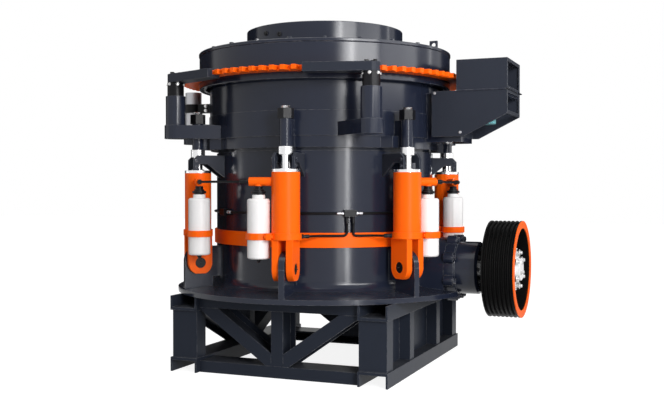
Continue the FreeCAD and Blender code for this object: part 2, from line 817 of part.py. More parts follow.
def bracket(swing):
    """Strap round the bottle and the barrel with two clamping ears at the waist."""
    x, y = beside(swing)
    low = bracket_low_z
    high = bracket_high_z
    around_bottle = post(bottle_r + bracket_rim, low, high, x, y)
    around_barrel = post(barrel_r + bracket_rim, low, high, cylinder_circle_r)
    waist = (bottle_reach + barrel_r - bottle_r) / 2
    ears = box(waist - bracket_waist / 2, waist + bracket_waist / 2, -bracket_ear_reach, bracket_ear_reach,
               low, high)
    ears.rotate(CENTRE, UP, math.degrees(swing))
    ears.translate(V(cylinder_circle_r, 0, 0))
    body = fused([around_bottle, around_barrel, ears])
    body = body.cut(post(bottle_r + seat_gap, low - past, high + past, x, y))
    return body.cut(post(barrel_r + seat_gap, low - past, high + past, cylinder_circle_r))


def beside_each(maker):
    """Copies of an accumulator piece beside each cylinder."""
    return [turned(maker(swing), angle) for swing, angle in zip(bottle_swings, cylinder_angles)]


save("release_cylinders", round_crusher(barrel))
save("cylinder_glands", round_crusher(gland))
save("gland_gussets", round_crusher(gusset()) + round_crusher(mirrored_y(gusset())))
save("cylinder_pins", round_crusher(pin))
save("frame_lugs", round_crusher(frame_lug()))
save("release_rods", round_crusher(release_rod()))
save("rod_nuts", round_crusher(hex_nut()))
save("accumulators", beside_each(accumulator))
save("accumulator_valves", beside_each(valve))
save("accumulator_tees", beside_each(tee))
save("accumulator_brackets", beside_each(bracket))


# Hydraulic lines

def pipe(points, bend=hose_bend):
    """Hose along straight runs that tangent arcs join."""
    edges = []
    start = points[0]
    for before, corner, after in zip(points, points[1:], points[2:]):
        into = (corner - before).normalize()
        away = (after - corner).normalize()
        half = into.getAngle(away) / 2
        shorter = min((corner - before).Length, (after - corner).Length)
        reach = min(bend * math.tan(half), hose_bend_share * shorter)
        radius = reach / math.tan(half)
        inward = (away - into).normalize()
        middle = corner + inward * (radius / math.cos(half) - radius)
        edges.append(Part.makeLine(start, corner - into * reach))
        edges.append(Part.Arc(corner - into * reach, middle, corner + away * reach).toShape())
        start = corner + away * reach
    edges.append(Part.makeLine(start, points[-1]))
    profile = Part.Wire(Part.makeCircle(hose_r, points[0], points[1] - points[0]))
    return Part.Wire(edges).makePipeShell([profile], True, False)


def tee_end(index, further):
    """Point on the axis of a tee, a given distance past its outer end."""
    out = bottle_reach + tee_past + further
    swing = bottle_swings[index]
    local = V(cylinder_circle_r + out * math.cos(swing), out * math.sin(swing), tee_z)
    return FreeCAD.Rotation(UP, cylinder_angles[index]).multVec(local)


def tee_hose(first, second):
    """Hose between the ends of two tees that face each other."""
    return pipe([tee_end(first, seat_gap), tee_end(first, hose_lead),
                 tee_end(second, hose_lead), tee_end(second, seat_gap)])


def beside_barrel(way, out):
    """Place a given distance off the axis of a barrel, towards its foot port, as radius and angle."""
    x = cylinder_circle_r + out * math.cos(math.radians(port_deg))
    y = -way * out * math.sin(math.radians(port_deg))
    return math.hypot(x, y), math.degrees(math.atan2(y, x))


def drop_hose(block_angle, index):
    """Hose from under a block, round the shell and out to the foot of a barrel."""
    turn = cylinder_angles[index] - block_angle
    turn -= 360.0 * round(turn / 360.0)
    way = math.copysign(1.0, turn)
    drop_r = shell_r + line_off_shell + block_depth / 2
    start_deg = block_angle + way * math.degrees(drop_aside / drop_r)
    lead_r, lead_deg = beside_barrel(way, barrel_r + bracket_rim + hose_lead)
    end_r, end_deg = beside_barrel(way, barrel_r + bracket_rim + seat_gap)
    cylinder_deg = block_angle + turn
    leave_deg = cylinder_deg + lead_deg - way * port_leave_deg
    points = [polar(drop_r, start_deg, line_z - block_half_height - seat_gap),
              polar(drop_r, start_deg, port_z)]
    for i in range(1, drop_wrap_steps + 1):
        wrap_deg = start_deg + (leave_deg - start_deg) * i / drop_wrap_steps
        points.append(polar(hose_wrap_r, wrap_deg, port_z))
    points.append(polar(lead_r, cylinder_deg + lead_deg, port_z))
    points.append(polar(end_r, cylinder_deg + end_deg, port_z))
    return pipe(points)


def line_block(angle):
    """Manifold block on the shell with a bore for the ring line."""
    inner = shell_r - shell_wall / 2
    body = box(inner, shell_r + line_off_shell + block_depth, -block_half_width, block_half_width,
               line_z - block_half_height, line_z + block_half_height)
    return turned(body.cut(post(shell_r + seat_gap, frame_base_z, shell_top_z)), angle)


ring_line = Part.makeTorus(shell_r + line_off_shell, hose_r, V(0, 0, line_z), UP)
line_bore = Part.makeTorus(shell_r + line_off_shell, hose_r + seat_gap, V(0, 0, line_z), UP)
save("ring_line", [ring_line])
save("line_blocks", [line_block(angle).cut(line_bore) for angle in block_angles])
save("tee_hoses", [tee_hose(1, 2), tee_hose(3, 4), tee_hose(5, 0)])
save("drop_hoses", [drop_hose(block_angles[1], 4), drop_hose(block_angles[1], 5),
                    drop_hose(block_angles[2], 0), drop_hose(block_angles[2], 1)])


# Adjustment ring

def to_guide(shape, angle):
    """Place a piece drawn for the post at +52.4 degrees at another post."""
    copy = shape.copy()
    if math.cos(math.radians(angle)) < 0:
        copy = mirrored_x(copy)
        copy = turned(copy, abs(angle) - 180 + post_angles[2])
    if angle < 0:
        copy = mirrored_y(copy)
    return copy


post_x = post_circle_r * math.cos(math.radians(post_angles[2]))
post_y = post_circle_r * math.sin(math.radians(post_angles[2]))
touch_angle = post_angles[2] + post_turn


def ring_arm():
    """Bracket arm from the ring to the post, drawn for the post at +52.4 degrees."""
    reach = post_circle_r - ring_foot_r + 2 * arm_end_r
    bar = box(0, reach, -arm_end_r, arm_end_r, arm_low_z, arm_high_z)
    bar.rotate(CENTRE, UP, post_angles[2] + 180 - arm_skew)
    bar.translate(V(post_x, post_y, 0))
    return fused([bar, post(arm_end_r, arm_low_z, arm_high_z, post_x, post_y)])


def ear_boss():
    """Wedge at the foot of an ear, drawn on the X axis."""
    inner = ring_foot_r - root_in
    corners = [V(inner, -ear_boss_foot, ring_low_z), V(ear_boss_r, -ear_boss_nose, ring_low_z),
               V(ear_boss_r, ear_boss_nose, ring_low_z), V(inner, ear_boss_foot, ring_low_z)]
    return outline(corners).extrude(V(0, 0, ring_foot_top_z - ring_low_z))


def adjustment_ring():
    """Threaded ring with an ear at each release rod and an arm at each guide post."""
    body = revolved([
        (ring_bore_r, ring_low_z), (ring_foot_r, ring_low_z), (ring_foot_r, ring_foot_top_z),
        (ring_r, ring_foot_top_z), (ring_r, ring_step_z), (ring_neck_r, ring_step_z),
        (ring_neck_r, ring_top_z), (ring_bore_r, ring_top_z)])
    tube = post(ear_tube_r, ring_low_z, ear_top_z, cylinder_circle_r)
    root_r = ring_foot_r - root_in
    web = box(root_r, cylinder_circle_r, -ear_web_thk / 2, ear_web_thk / 2, ring_low_z, ear_top_z)
    ears = round_crusher(tube.fuse(web))
    bosses = [turned(ear_boss(), cylinder_angles[i]) for i in range(1, len(cylinder_angles), 2)]
    arms = [to_guide(ring_arm(), angle) for angle in post_angles]
    steady = box(root_r, steady_circle_r, -arm_end_r, arm_end_r, arm_low_z, arm_high_z).fuse(
        post(arm_end_r, arm_low_z, arm_high_z, steady_circle_r))
    seat = box(root_r, drive_box_inner_x, -drive_seat_half_y, drive_seat_half_y,
               drive_box_low_z, drive_box_split_z - running_gap)
    shelf = box(root_r, drive_box_cut_x - drive_seat_thk, -drive_seat_half_y, drive_seat_half_y,
                drive_box_low_z - drive_seat_thk, drive_box_low_z)
    body = fused([body] + ears + bosses + arms + [turned(steady, steady_angle), seat, shelf])
    body = body.cut(post(ring_bore_r, ring_low_z - past, ring_top_z + past))
    for angle in cylinder_angles:
        place = polar(cylinder_circle_r, angle)
        body = body.cut(post(rod_r + seat_gap, ring_low_z - past, ring_top_z, place.x, place.y))
    return body


def guide_plate():
    """Clamp plate over the drive ring edge with a lip under the ring."""
    inner = drive_r + running_gap
    aside = post_circle_r * math.sin(math.radians(post_turn))
    start = plate_outer - post_circle_r * math.cos(math.radians(post_turn))
    bar = box(inner - plate_lip - root_in, plate_outer, -aside, 0, plate_low_z, plate_high_z)
    nose = post(start, plate_low_z, plate_high_z, plate_outer - start, -aside)
    body = bar.fuse(nose)
    body = body.cut(post(inner, drive_low_z - seat_gap, plate_high_z + past))
    body = body.cut(post(inner - plate_lip, plate_low_z - past, plate_high_z + past))
    return turned(body.removeSplitter(), touch_angle)


def steady_clamp():
    """Bar from the ring that holds the steady post, drawn on the X axis."""
    bar = box(ring_r - root_in, steady_circle_r, -steady_clamp_r / 2, steady_clamp_r / 2,
              steady_clamp_low_z, steady_clamp_high_z)
    eye = post(steady_clamp_r, steady_clamp_low_z, steady_clamp_high_z, steady_circle_r)
    body = fused([bar, eye]).cut(post(ring_neck_r + seat_gap, ring_low_z, ring_top_z))
    return body.cut(post(steady_r + seat_gap, arm_high_z, steady_top_z, steady_circle_r))


guide_post = post(post_r, arm_high_z, post_high_z, post_x, post_y)
guide_collar = post(post_collar_r, post_high_z, plate_low_z, post_x, post_y)
save("adjustment_ring", [adjustment_ring()])
save("guide_posts", [to_guide(guide_post, angle) for angle in post_angles])
save("guide_collars", [to_guide(guide_collar, angle) for angle in post_angles])
save("guide_plates", [to_guide(guide_plate(), angle) for angle in post_angles])
save("steady_post", [turned(post(steady_r, arm_high_z, steady_top_z, steady_circle_r), steady_angle)])
save("steady_clamp", [turned(steady_clamp(), steady_angle)])


# Drive ring

def toothed_ring():
    """Ring gear with chunky teeth."""
    root = drive_r - tooth_depth
    step = 360.0 / tooth_count
    points = []
    for i in range(tooth_count):
        start = i * step
        flank = start + tooth_gap_share * step
        tip = flank + tooth_flank_share * step
        points += [polar(root, start), polar(root, flank),
                   polar(drive_r, tip), polar(drive_r, tip + tooth_tip_share * step)]
    gear = outline(points).extrude(V(0, 0, drive_thk))
    gear.translate(V(0, 0, drive_low_z))
    return gear.cut(post(cap_r + running_gap, drive_low_z - past, drive_low_z + drive_thk + past))


save("drive_ring", [toothed_ring()])


# Cap, hopper and bowl

save("adjustment_cap", [revolved([
    (cap_r - cap_wall, cap_low_z), (cap_r, cap_low_z), (cap_r, cap_high_z),
    (cap_r - cap_wall, cap_high_z)])])
save("cap_cover", [revolved([
    (hopper_r - hopper_wall, cap_high_z), (cap_r + cover_lip, cap_high_z),
    (cap_r + cover_lip, cap_top_z), (hopper_r - hopper_wall, cap_top_z)])])
save("feed_hopper", [revolved([
    (hopper_r - hopper_wall, cap_top_z), (hopper_r, cap_top_z), (hopper_r, hopper_high_z),
    (hopper_r - hopper_wall, hopper_high_z)])])

lug_half = lifting_lug_width / 2
lug_half_thk = lifting_lug_thk / 2
lifting_lug = box(lifting_lug_r - lug_half, lifting_lug_r + lug_half, -lug_half_thk, lug_half_thk,
                  cap_top_z, cap_top_z + lifting_lug_height)
lifting_lug = lifting_lug.cut(tangential(lifting_lug_eye_r, lifting_lug_thk, lifting_lug_r,
                                         cap_top_z + lifting_lug_height / 2))
save("lifting_lugs", [turned(lifting_lug, angle) for angle in lifting_lug_angles])

liner_out_top = liner_top_r + liner_wall + seat_gap
liner_out_foot = liner_foot_r + liner_wall + seat_gap
save("bowl_liner", [revolved([
    (liner_foot_r, liner_foot_z), (liner_foot_r + liner_wall, liner_foot_z),
    (liner_top_r + liner_wall, liner_top_z), (liner_top_r, liner_top_z)])])
save("bowl", [revolved([
    (liner_out_foot, liner_foot_z), (bowl_foot_r, liner_foot_z), (bowl_foot_r, ring_low_z + bowl_shoulder),
    (thread_r, ring_low_z + 2 * bowl_shoulder), (thread_r, cap_high_z), (hopper_r - hopper_wall, cap_high_z),
    (liner_top_r, liner_top_z + seat_gap), (liner_out_top, liner_top_z + seat_gap)])])


# Ring drive housing

def end_window(low, high):
    """Opening in the outer end of the housing, framed by a narrow border."""
    half = drive_box_half_y - drive_window_frame
    return box(drive_box_outer_x - drive_box_wall - past, drive_box_outer_x + past, -half, half,
               low + drive_window_frame, high - drive_window_frame)


def lower_box():
    """Folded lower box with an open slanted underside."""
    corners = [
        V(drive_box_inner_x, 0, drive_box_low_z), V(drive_box_cut_x, 0, drive_box_low_z),
        V(drive_box_outer_x, 0, drive_box_cut_z), V(drive_box_outer_x, 0, drive_box_split_z),
        V(drive_box_inner_x, 0, drive_box_split_z)]
    body = outline(corners).extrude(V(0, 2 * drive_box_half_y, 0))
    body.translate(V(0, -drive_box_half_y, 0))
    wall = drive_box_wall
    inside = box(drive_cover_inner_x + wall, drive_box_outer_x - wall, -drive_box_half_y + wall,
                 drive_box_half_y - wall, drive_box_low_z - past, drive_box_split_z + past)
    return body.cut(inside).cut(end_window(drive_box_cut_z, drive_box_split_z))


def upper_cover():
    """Folded cover, open below."""
    wall = drive_box_wall
    body = box(drive_cover_inner_x, drive_box_outer_x, -drive_box_half_y, drive_box_half_y,
               drive_box_split_z, drive_box_high_z)
    inside = box(drive_cover_inner_x + wall, drive_box_outer_x - wall, -drive_box_half_y + wall,
                 drive_box_half_y - wall, drive_box_split_z - past, drive_box_high_z - wall)
    return body.cut(inside).cut(end_window(drive_box_split_z, drive_box_high_z))


def drive_motor():
    """Hydraulic motor under its mounting plate."""
    wall = drive_box_wall
    plate = box(drive_cover_inner_x + wall, drive_box_outer_x - wall, -drive_box_half_y + wall,
                drive_box_half_y - wall, motor_plate_z, motor_plate_z + motor_plate_thk)
    case = post(drive_motor_r, motor_plate_z - drive_motor_length, motor_plate_z, drive_motor_x, 0)
    return fused([plate, case])


save("drive_housing", [lower_box()])
save("drive_cover", [upper_cover()])
save("drive_motor", [drive_motor()])
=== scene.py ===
# %% [markdown]
# Cone crusher on its stand. The machine squeezes rock between a gyrating head and a fixed bowl. The solid
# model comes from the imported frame. This script gives each piece its rounded edges, its paint or bare metal,
# and the small things that a solid model leaves out: bolts, fittings, threads and weld beads.

# %% Load the frame
import json
import math
import random

import bmesh
import bpy
import numpy as np
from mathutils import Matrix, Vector

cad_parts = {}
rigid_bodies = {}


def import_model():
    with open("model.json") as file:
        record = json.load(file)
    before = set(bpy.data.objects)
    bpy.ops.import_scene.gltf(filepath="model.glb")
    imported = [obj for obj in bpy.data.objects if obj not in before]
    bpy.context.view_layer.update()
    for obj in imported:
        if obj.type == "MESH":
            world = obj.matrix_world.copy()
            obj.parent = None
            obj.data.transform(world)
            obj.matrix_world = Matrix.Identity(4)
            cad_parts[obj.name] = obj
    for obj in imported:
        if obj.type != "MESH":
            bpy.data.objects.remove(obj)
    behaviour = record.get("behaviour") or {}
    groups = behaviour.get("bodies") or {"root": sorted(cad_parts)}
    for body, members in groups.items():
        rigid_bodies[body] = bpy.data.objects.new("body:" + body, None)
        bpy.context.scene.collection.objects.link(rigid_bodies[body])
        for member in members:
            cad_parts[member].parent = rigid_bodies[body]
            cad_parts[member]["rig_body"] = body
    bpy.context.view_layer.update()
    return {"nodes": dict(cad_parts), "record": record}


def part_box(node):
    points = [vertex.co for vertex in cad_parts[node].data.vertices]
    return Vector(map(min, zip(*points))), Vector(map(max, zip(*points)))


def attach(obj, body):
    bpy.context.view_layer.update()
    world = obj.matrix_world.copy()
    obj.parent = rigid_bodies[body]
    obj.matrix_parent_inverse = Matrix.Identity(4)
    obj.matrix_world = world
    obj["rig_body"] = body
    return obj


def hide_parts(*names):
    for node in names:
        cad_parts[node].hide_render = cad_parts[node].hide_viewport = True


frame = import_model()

# %% [markdown]
# The camera comes first, because it decides what has to look right. It was solved from the circles and the
# stand corners of the picture: a 50 mm lens on a 36 mm film, at breast height, in front and to the right. It
# could be set by eye, but then every later difference might be the camera's or the model's.


# %% Camera
def show(thing):
    """Put an object into the scene."""
    bpy.context.scene.collection.objects.link(thing)
    return thing


LENS = 50.0
FILM_WIDTH = 36.0
EYE = (3.006, -7.227, 1.443)
LOOK_DOWN = 0.92
LOOK_LEFT = 22.14

camera_data = bpy.data.cameras.new("camera")
camera_data.lens = LENS
camera_data.sensor_width = FILM_WIDTH
camera = show(bpy.data.objects.new("camera", camera_data))
camera.location = EYE
camera.rotation_euler = (math.radians(90 - LOOK_DOWN), 0, math.radians(LOOK_LEFT))
bpy.context.scene.camera = camera
bpy.context.scene.view_settings.view_transform = "Standard"
print("camera at", EYE)

# %% [markdown]
# A finish is never one flat colour. An effect that several finishes share, such as worn edges or a film of
# paint, is a shader node group, built once and used with other numbers in each. It could be image textures,
# but a group needs no file and has no seams. A few helpers keep the building of nodes short.


# %% Helpers for node groups
def new_group(name, inputs, outputs):
    """Empty shader node group with named sockets."""
    tree = bpy.data.node_groups.new(name, "ShaderNodeTree")
    for label, kind, value in inputs:
        socket = tree.interface.new_socket(label, in_out="INPUT", socket_type=kind)
        socket.default_value = value
    for label, kind in outputs:
        tree.interface.new_socket(label, in_out="OUTPUT", socket_type=kind)
    return tree, tree.nodes.new("NodeGroupInput"), tree.nodes.new("NodeGroupOutput")


def add(tree, kind, **settings):
    """Node with some of its settings."""
    node = tree.nodes.new(kind)
    for key, value in settings.items():
        setattr(node, key, value)
    return node


def wire(tree, source, target):
    """Link between two sockets, or a plain value on the second one."""
    if isinstance(source, bpy.types.NodeSocket):
        tree.links.new(source, target)
    else:
        target.default_value = source


def noise(tree, scale, detail=3.0, stretch=(1, 1, 1)):
    """Noise on object coordinates; its value comes out."""
    place = add(tree, "ShaderNodeTexCoord")
    mapping = add(tree, "ShaderNodeMapping")
    mapping.inputs["Scale"].default_value = stretch
    wire(tree, place.outputs["Object"], mapping.inputs["Vector"])
    node = add(tree, "ShaderNodeTexNoise")
    wire(tree, mapping.outputs["Vector"], node.inputs["Vector"])
    wire(tree, scale, node.inputs["Scale"])
    node.inputs["Detail"].default_value = detail
    return node.outputs["Fac"]


def spread(tree, value, low, high, out_low, out_high):
    """Value mapped from one span to another, clamped."""
    node = add(tree, "ShaderNodeMapRange")
    wire(tree, value, node.inputs["Value"])
    for label, number in zip(("From Min", "From Max", "To Min", "To Max"), (low, high, out_low, out_high)):
        wire(tree, number, node.inputs[label])
    return node.outputs["Result"]


def maths(tree, operation, first, second):
    """Two values joined by an operation."""
    node = add(tree, "ShaderNodeMath", operation=operation)
    wire(tree, first, node.inputs[0])
    wire(tree, second, node.inputs[1])
    return node.outputs[0]


# A Mix node has sockets for numbers, vectors and colours; these are the ones that mix colours.
MIX_FACTOR, MIX_FIRST, MIX_SECOND, MIX_RESULT = 0, 6, 7, 2


def blend_colour(tree, factor, first, second):
    """Two colours mixed by a factor."""
    node = add(tree, "ShaderNodeMix", data_type="RGBA")
    wire(tree, factor, node.inputs[MIX_FACTOR])
    wire(tree, first, node.inputs[MIX_FIRST])
    wire(tree, second, node.inputs[MIX_SECOND])
    return node.outputs[MIX_RESULT]


# %% [markdown]
# Handling wears an edge first. Paint is thin on it and bare metal is rubbed bright. The paler paint on an
# edge is also a painted highlight, the light that a rounded edge catches. A Bevel node gives the normal that
# a rounded edge would have, and where that differs from the true normal, there is an edge. The mask could be
# painted by hand, but here every finish gets it for nothing. Noise breaks it into patches.


# %% Node group: sharp edges
# Wear and the painted highlight of edges begin and are full at these cosines of the angle between the true
# normal and a rounded one.
WEAR_AND_HIGHLIGHT_BEGINS = 0.995
WEAR_AND_HIGHLIGHT_FULL = 0.93


def edge_group():
    """Mask that is 1 along edges, where metal is rubbed, paint is thin and paint gets a painted highlight."""
    tree, entry, leave = new_group("sharp edges", [
        ("Width", "NodeSocketFloat", 0.004), ("Breakup", "NodeSocketFloat", 30.0)],
        [("Mask", "NodeSocketFloat")])
    rounded = add(tree, "ShaderNodeBevel", samples=4)
    wire(tree, entry.outputs["Width"], rounded.inputs["Radius"])
    surface = add(tree, "ShaderNodeNewGeometry")
    dot = add(tree, "ShaderNodeVectorMath", operation="DOT_PRODUCT")
    wire(tree, rounded.outputs["Normal"], dot.inputs[0])
    wire(tree, surface.outputs["Normal"], dot.inputs[1])
    turned = spread(tree, dot.outputs["Value"], WEAR_AND_HIGHLIGHT_BEGINS, WEAR_AND_HIGHLIGHT_FULL, 0.0, 1.0)
    patches = spread(tree, noise(tree, entry.outputs["Breakup"]), 0.35, 0.6, 0.0, 1.0)
    wire(tree, maths(tree, "MULTIPLY", turned, patches), leave.inputs["Mask"])
    return tree


edge_mask = edge_group()
print("group:", edge_mask.name, len(edge_mask.nodes), "nodes")

# %% [markdown]
# Sprayed paint varies a little from place to place, its film has a fine orange-peel ripple, and dust stays on
# what faces up. Dust is paler and duller than paint, so it changes the roughness along with the colour.


# %% Node group: paint film
# Pale colour of painted edges: partly thin, worn paint and partly a painted highlight.
THIN_PAINT_AND_HIGHLIGHT = (0.55, 0.55, 0.56, 1)
DUST_COLOUR = (0.36, 0.34, 0.31, 1)
DUST_DULLS = 0.6
SHADE_CLOUDS = 2.3
DUST_PATCHES = 9.0
GLOSS_PATCHES = 6.0


def paint_group():
    """Colour, roughness and height of a sprayed coat on cast or welded steel."""
    tree, entry, leave = new_group("paint film", [
        ("Colour", "NodeSocketColor", (0.5, 0.5, 0.5, 1)), ("Variation", "NodeSocketFloat", 0.12),
        ("Roughness", "NodeSocketFloat", 0.3), ("Ripple Scale", "NodeSocketFloat", 160.0),
        ("Edge Light", "NodeSocketFloat", 0.25), ("Dust", "NodeSocketFloat", 0.1)],
        [("Colour", "NodeSocketColor"), ("Roughness", "NodeSocketFloat"), ("Height", "NodeSocketFloat")])
    wide = noise(tree, SHADE_CLOUDS, 4.0)
    drift = spread(tree, wide, 0.3, 0.7, maths(tree, "SUBTRACT", 1.0, entry.outputs["Variation"]), 1.0)
    shade = add(tree, "ShaderNodeVectorMath", operation="SCALE")
    wire(tree, entry.outputs["Colour"], shade.inputs[0])
    wire(tree, drift, shade.inputs["Scale"])
    edges = add(tree, "ShaderNodeGroup", node_tree=edge_mask)
    # Edges turn paler: partly thin paint, and partly a painted highlight of the light a rounded edge catches.
    lit = maths(tree, "MULTIPLY", edges.outputs["Mask"], entry.outputs["Edge Light"])
    colour = blend_colour(tree, lit, shade.outputs["Vector"], THIN_PAINT_AND_HIGHLIGHT)
    surface = add(tree, "ShaderNodeNewGeometry")
    parts = add(tree, "ShaderNodeSeparateXYZ")
    wire(tree, surface.outputs["Normal"], parts.inputs[0])
    facing_up = spread(tree, parts.outputs["Z"], 0.6, 1.0, 0.0, 1.0)
    dusty = maths(tree, "MULTIPLY", facing_up, entry.outputs["Dust"])
    dusty = maths(tree, "MULTIPLY", dusty, spread(tree, noise(tree, DUST_PATCHES, 6.0), 0.3, 0.7, 0.2, 1.0))
    colour = blend_colour(tree, dusty, colour, DUST_COLOUR)
    wire(tree, colour, leave.inputs["Colour"])
    gloss = spread(tree, noise(tree, GLOSS_PATCHES, 5.0), 0.3, 0.7, -0.012, 0.018)
    gloss = maths(tree, "ADD", gloss, entry.outputs["Roughness"])
    gloss = maths(tree, "ADD", gloss, maths(tree, "MULTIPLY", dusty, DUST_DULLS))
    wire(tree, gloss, leave.inputs["Roughness"])
    peel = noise(tree, entry.outputs["Ripple Scale"], 2.0)
    wire(tree, peel, leave.inputs["Height"])
    return tree


paint_film = paint_group()
print("group:", paint_film.name, len(paint_film.nodes), "nodes")

# %% [markdown]
# Turned steel has fine lines round it from the lathe. The noise is squeezed along the height, which leaves
# level lines, and they change the roughness and the relief. Stains lie over them in soft patches.


# %% Node group: machined metal
LATHE_STRETCH = (1, 1, 14)
STAIN_PATCHES = 14.0
RUBBED_METAL = (0.8, 0.8, 0.8, 1)
RUBBED_SHARE = 0.3
LINES_DULL = 0.12
STAINS_DULL = 0.25


def machined_group():
    """Bare steel: fine lathe or grinding lines, stains, and brighter edges."""
    tree, entry, leave = new_group("machined metal", [
        ("Colour", "NodeSocketColor", (0.6, 0.6, 0.6, 1)), ("Stain", "NodeSocketColor", (0.2, 0.2, 0.2, 1)),
        ("Stain Amount", "NodeSocketFloat", 0.3), ("Roughness", "NodeSocketFloat", 0.25),
        ("Line Scale", "NodeSocketFloat", 60.0)],
        [("Colour", "NodeSocketColor"), ("Roughness", "NodeSocketFloat"), ("Height", "NodeSocketFloat")])
    lines = noise(tree, entry.outputs["Line Scale"], 2.0, LATHE_STRETCH)
    patches = spread(tree, noise(tree, STAIN_PATCHES, 6.0), 0.45, 0.75, 0.0, 1.0)
    stained = maths(tree, "MULTIPLY", patches, entry.outputs["Stain Amount"])
    colour = blend_colour(tree, stained, entry.outputs["Colour"], entry.outputs["Stain"])
    edges = add(tree, "ShaderNodeGroup", node_tree=edge_mask)
    rubbed = maths(tree, "MULTIPLY", edges.outputs["Mask"], RUBBED_SHARE)
    colour = blend_colour(tree, rubbed, colour, RUBBED_METAL)
    wire(tree, colour, leave.inputs["Colour"])
    gloss = maths(tree, "ADD", entry.outputs["Roughness"], maths(tree, "MULTIPLY", lines, LINES_DULL))
    gloss = maths(tree, "ADD", gloss, maths(tree, "MULTIPLY", stained, STAINS_DULL))
    wire(tree, gloss, leave.inputs["Roughness"])
    wire(tree, lines, leave.inputs["Height"])
    return tree


machined_metal = machined_group()
print("group:", machined_metal.name, len(machined_metal.nodes), "nodes")

# %% [markdown]
# The wear parts inside are manganese steel from a sand mould. They stay rough and unpainted, with grain all
# over and rust in the hollows, so one noise is both their relief and their roughness.


# %% Node group: rough casting
HOLLOW_CLOUDS = 5.0


def casting_group():
    """Manganese casting: sand-cast grain, pits and rust-brown hollows."""
    tree, entry, leave = new_group("rough casting", [
        ("Colour", "NodeSocketColor", (0.2, 0.19, 0.18, 1)),
        ("Hollows", "NodeSocketColor", (0.1, 0.06, 0.04, 1)), ("Grain Scale", "NodeSocketFloat", 70.0)],
        [("Colour", "NodeSocketColor"), ("Roughness", "NodeSocketFloat"), ("Height", "NodeSocketFloat")])
    grain = noise(tree, entry.outputs["Grain Scale"], 8.0)
    clouds = spread(tree, noise(tree, HOLLOW_CLOUDS, 6.0), 0.4, 0.65, 0.0, 0.8)
    colour = blend_colour(tree, clouds, entry.outputs["Colour"], entry.outputs["Hollows"])
    wire(tree, colour, leave.inputs["Colour"])
    wire(tree, spread(tree, grain, 0.3, 0.7, 0.45, 0.75), leave.inputs["Roughness"])
    wire(tree, grain, leave.inputs["Height"])
    return tree


rough_casting = casting_group()
print("group:", rough_casting.name, len(rough_casting.nodes), "nodes")

# %% [markdown]
# Each finish of the machine is one material: a Principled shader whose colour, roughness and relief come
# from one of the groups. What is the same all over, such as how metallic it is, stands on the shader. The
# whole machine could share one paint, but gloss castings, matt sheets and the stand reflect differently.


# %% Helpers for finishes
BUMP_STRENGTH = 0.35


def finish(name, group, values, metallic=0.0, specular=0.5, relief=0.0005):
    """Material whose colour, roughness and bump come from a node group."""
    material = bpy.data.materials.new(name)
    material.use_nodes = True
    tree = material.node_tree
    shader = tree.nodes["Principled BSDF"]
    source = add(tree, "ShaderNodeGroup", node_tree=group)
    for label, value in values.items():
        source.inputs[label].default_value = value
    wire(tree, source.outputs["Colour"], shader.inputs["Base Color"])
    wire(tree, source.outputs["Roughness"], shader.inputs["Roughness"])
    bump = add(tree, "ShaderNodeBump")
    bump.inputs["Strength"].default_value = BUMP_STRENGTH
    bump.inputs["Distance"].default_value = relief
    wire(tree, source.outputs["Height"], bump.inputs["Height"])
    wire(tree, bump.outputs["Normal"], shader.inputs["Normal"])
    shader.inputs["Metallic"].default_value = metallic
    shader.inputs["Specular IOR Level"].default_value = specular
    return material


def paint(name, colour, roughness, **more):
    """Sprayed finish; variation, ripple_scale, edge_light and dust go to the paint film."""
    values = {"Colour": (*colour, 1), "Roughness": roughness}
    for label in ("Variation", "Ripple Scale", "Edge Light", "Dust"):
        key = label.lower().replace(" ", "_")
        if key in more:
            values[label] = more.pop(key)
    return finish(name, paint_film, values, **more)


def metal(name, colour, stain, roughness):
    """Bare metal finish."""
    values = {"Colour": (*colour, 1), "Stain": (*stain, 1), "Roughness": roughness}
    return finish(name, machined_metal, values, metallic=1.0)


# %% Finishes
# PLAIN leaves out the dust and the pale edges, which are partly a painted highlight.
PLAIN = {"dust": 0.0, "edge_light": 0.0}
THIN = 0.0001
slate_paint = paint("slate paint", (0.0145, 0.0185, 0.034), 0.17, specular=0.29, relief=THIN, dust=0.05)
stand_paint = paint("stand paint", (0.0205, 0.025, 0.037), 0.34, specular=0.07, relief=THIN)
sheet_paint = paint("sheet paint", (0.027, 0.031, 0.043), 0.34, specular=0.07, relief=THIN)
orange_paint = paint("orange paint", (1.0, 0.13, 0.004), 0.34, specular=0.09, variation=0.05, **PLAIN)
white_paint = paint("white paint", (0.84, 0.83, 0.83), 0.3, specular=0.3, variation=0.03, **PLAIN)
motor_paint = paint("motor paint", (0.14, 0.42, 0.46), 0.4, specular=0.2)
bright_steel = metal("bright steel", (0.80, 0.80, 0.81), (0.5, 0.5, 0.5), 0.16)
bolt_steel = metal("bolt steel", (0.62, 0.62, 0.62), (0.3, 0.29, 0.28), 0.28)
satin_steel = metal("satin steel", (0.42, 0.42, 0.44), (0.3, 0.3, 0.3), 0.38)
black_steel = paint("black steel", (0.007, 0.007, 0.009), 0.32, specular=0.14, variation=0.3,
                    dust=0.0, edge_light=0.1)
hub_silver = paint("hub silver", (0.86, 0.86, 0.87), 0.42, specular=0.5, metallic=0.15, **PLAIN)
sheave_black = paint("sheave black", (0.004, 0.004, 0.004), 0.42, specular=0.07, variation=0.3, **PLAIN)
rubber_skin = paint("hose rubber", (0.006, 0.006, 0.007), 0.45, specular=0.1, variation=0.3,
                    ripple_scale=600.0, **PLAIN)
wear_steel = finish("wear steel", rough_casting, {
    "Colour": (0.16, 0.15, 0.145, 1), "Hollows": (0.09, 0.065, 0.05, 1)}, metallic=0.6, relief=0.002)
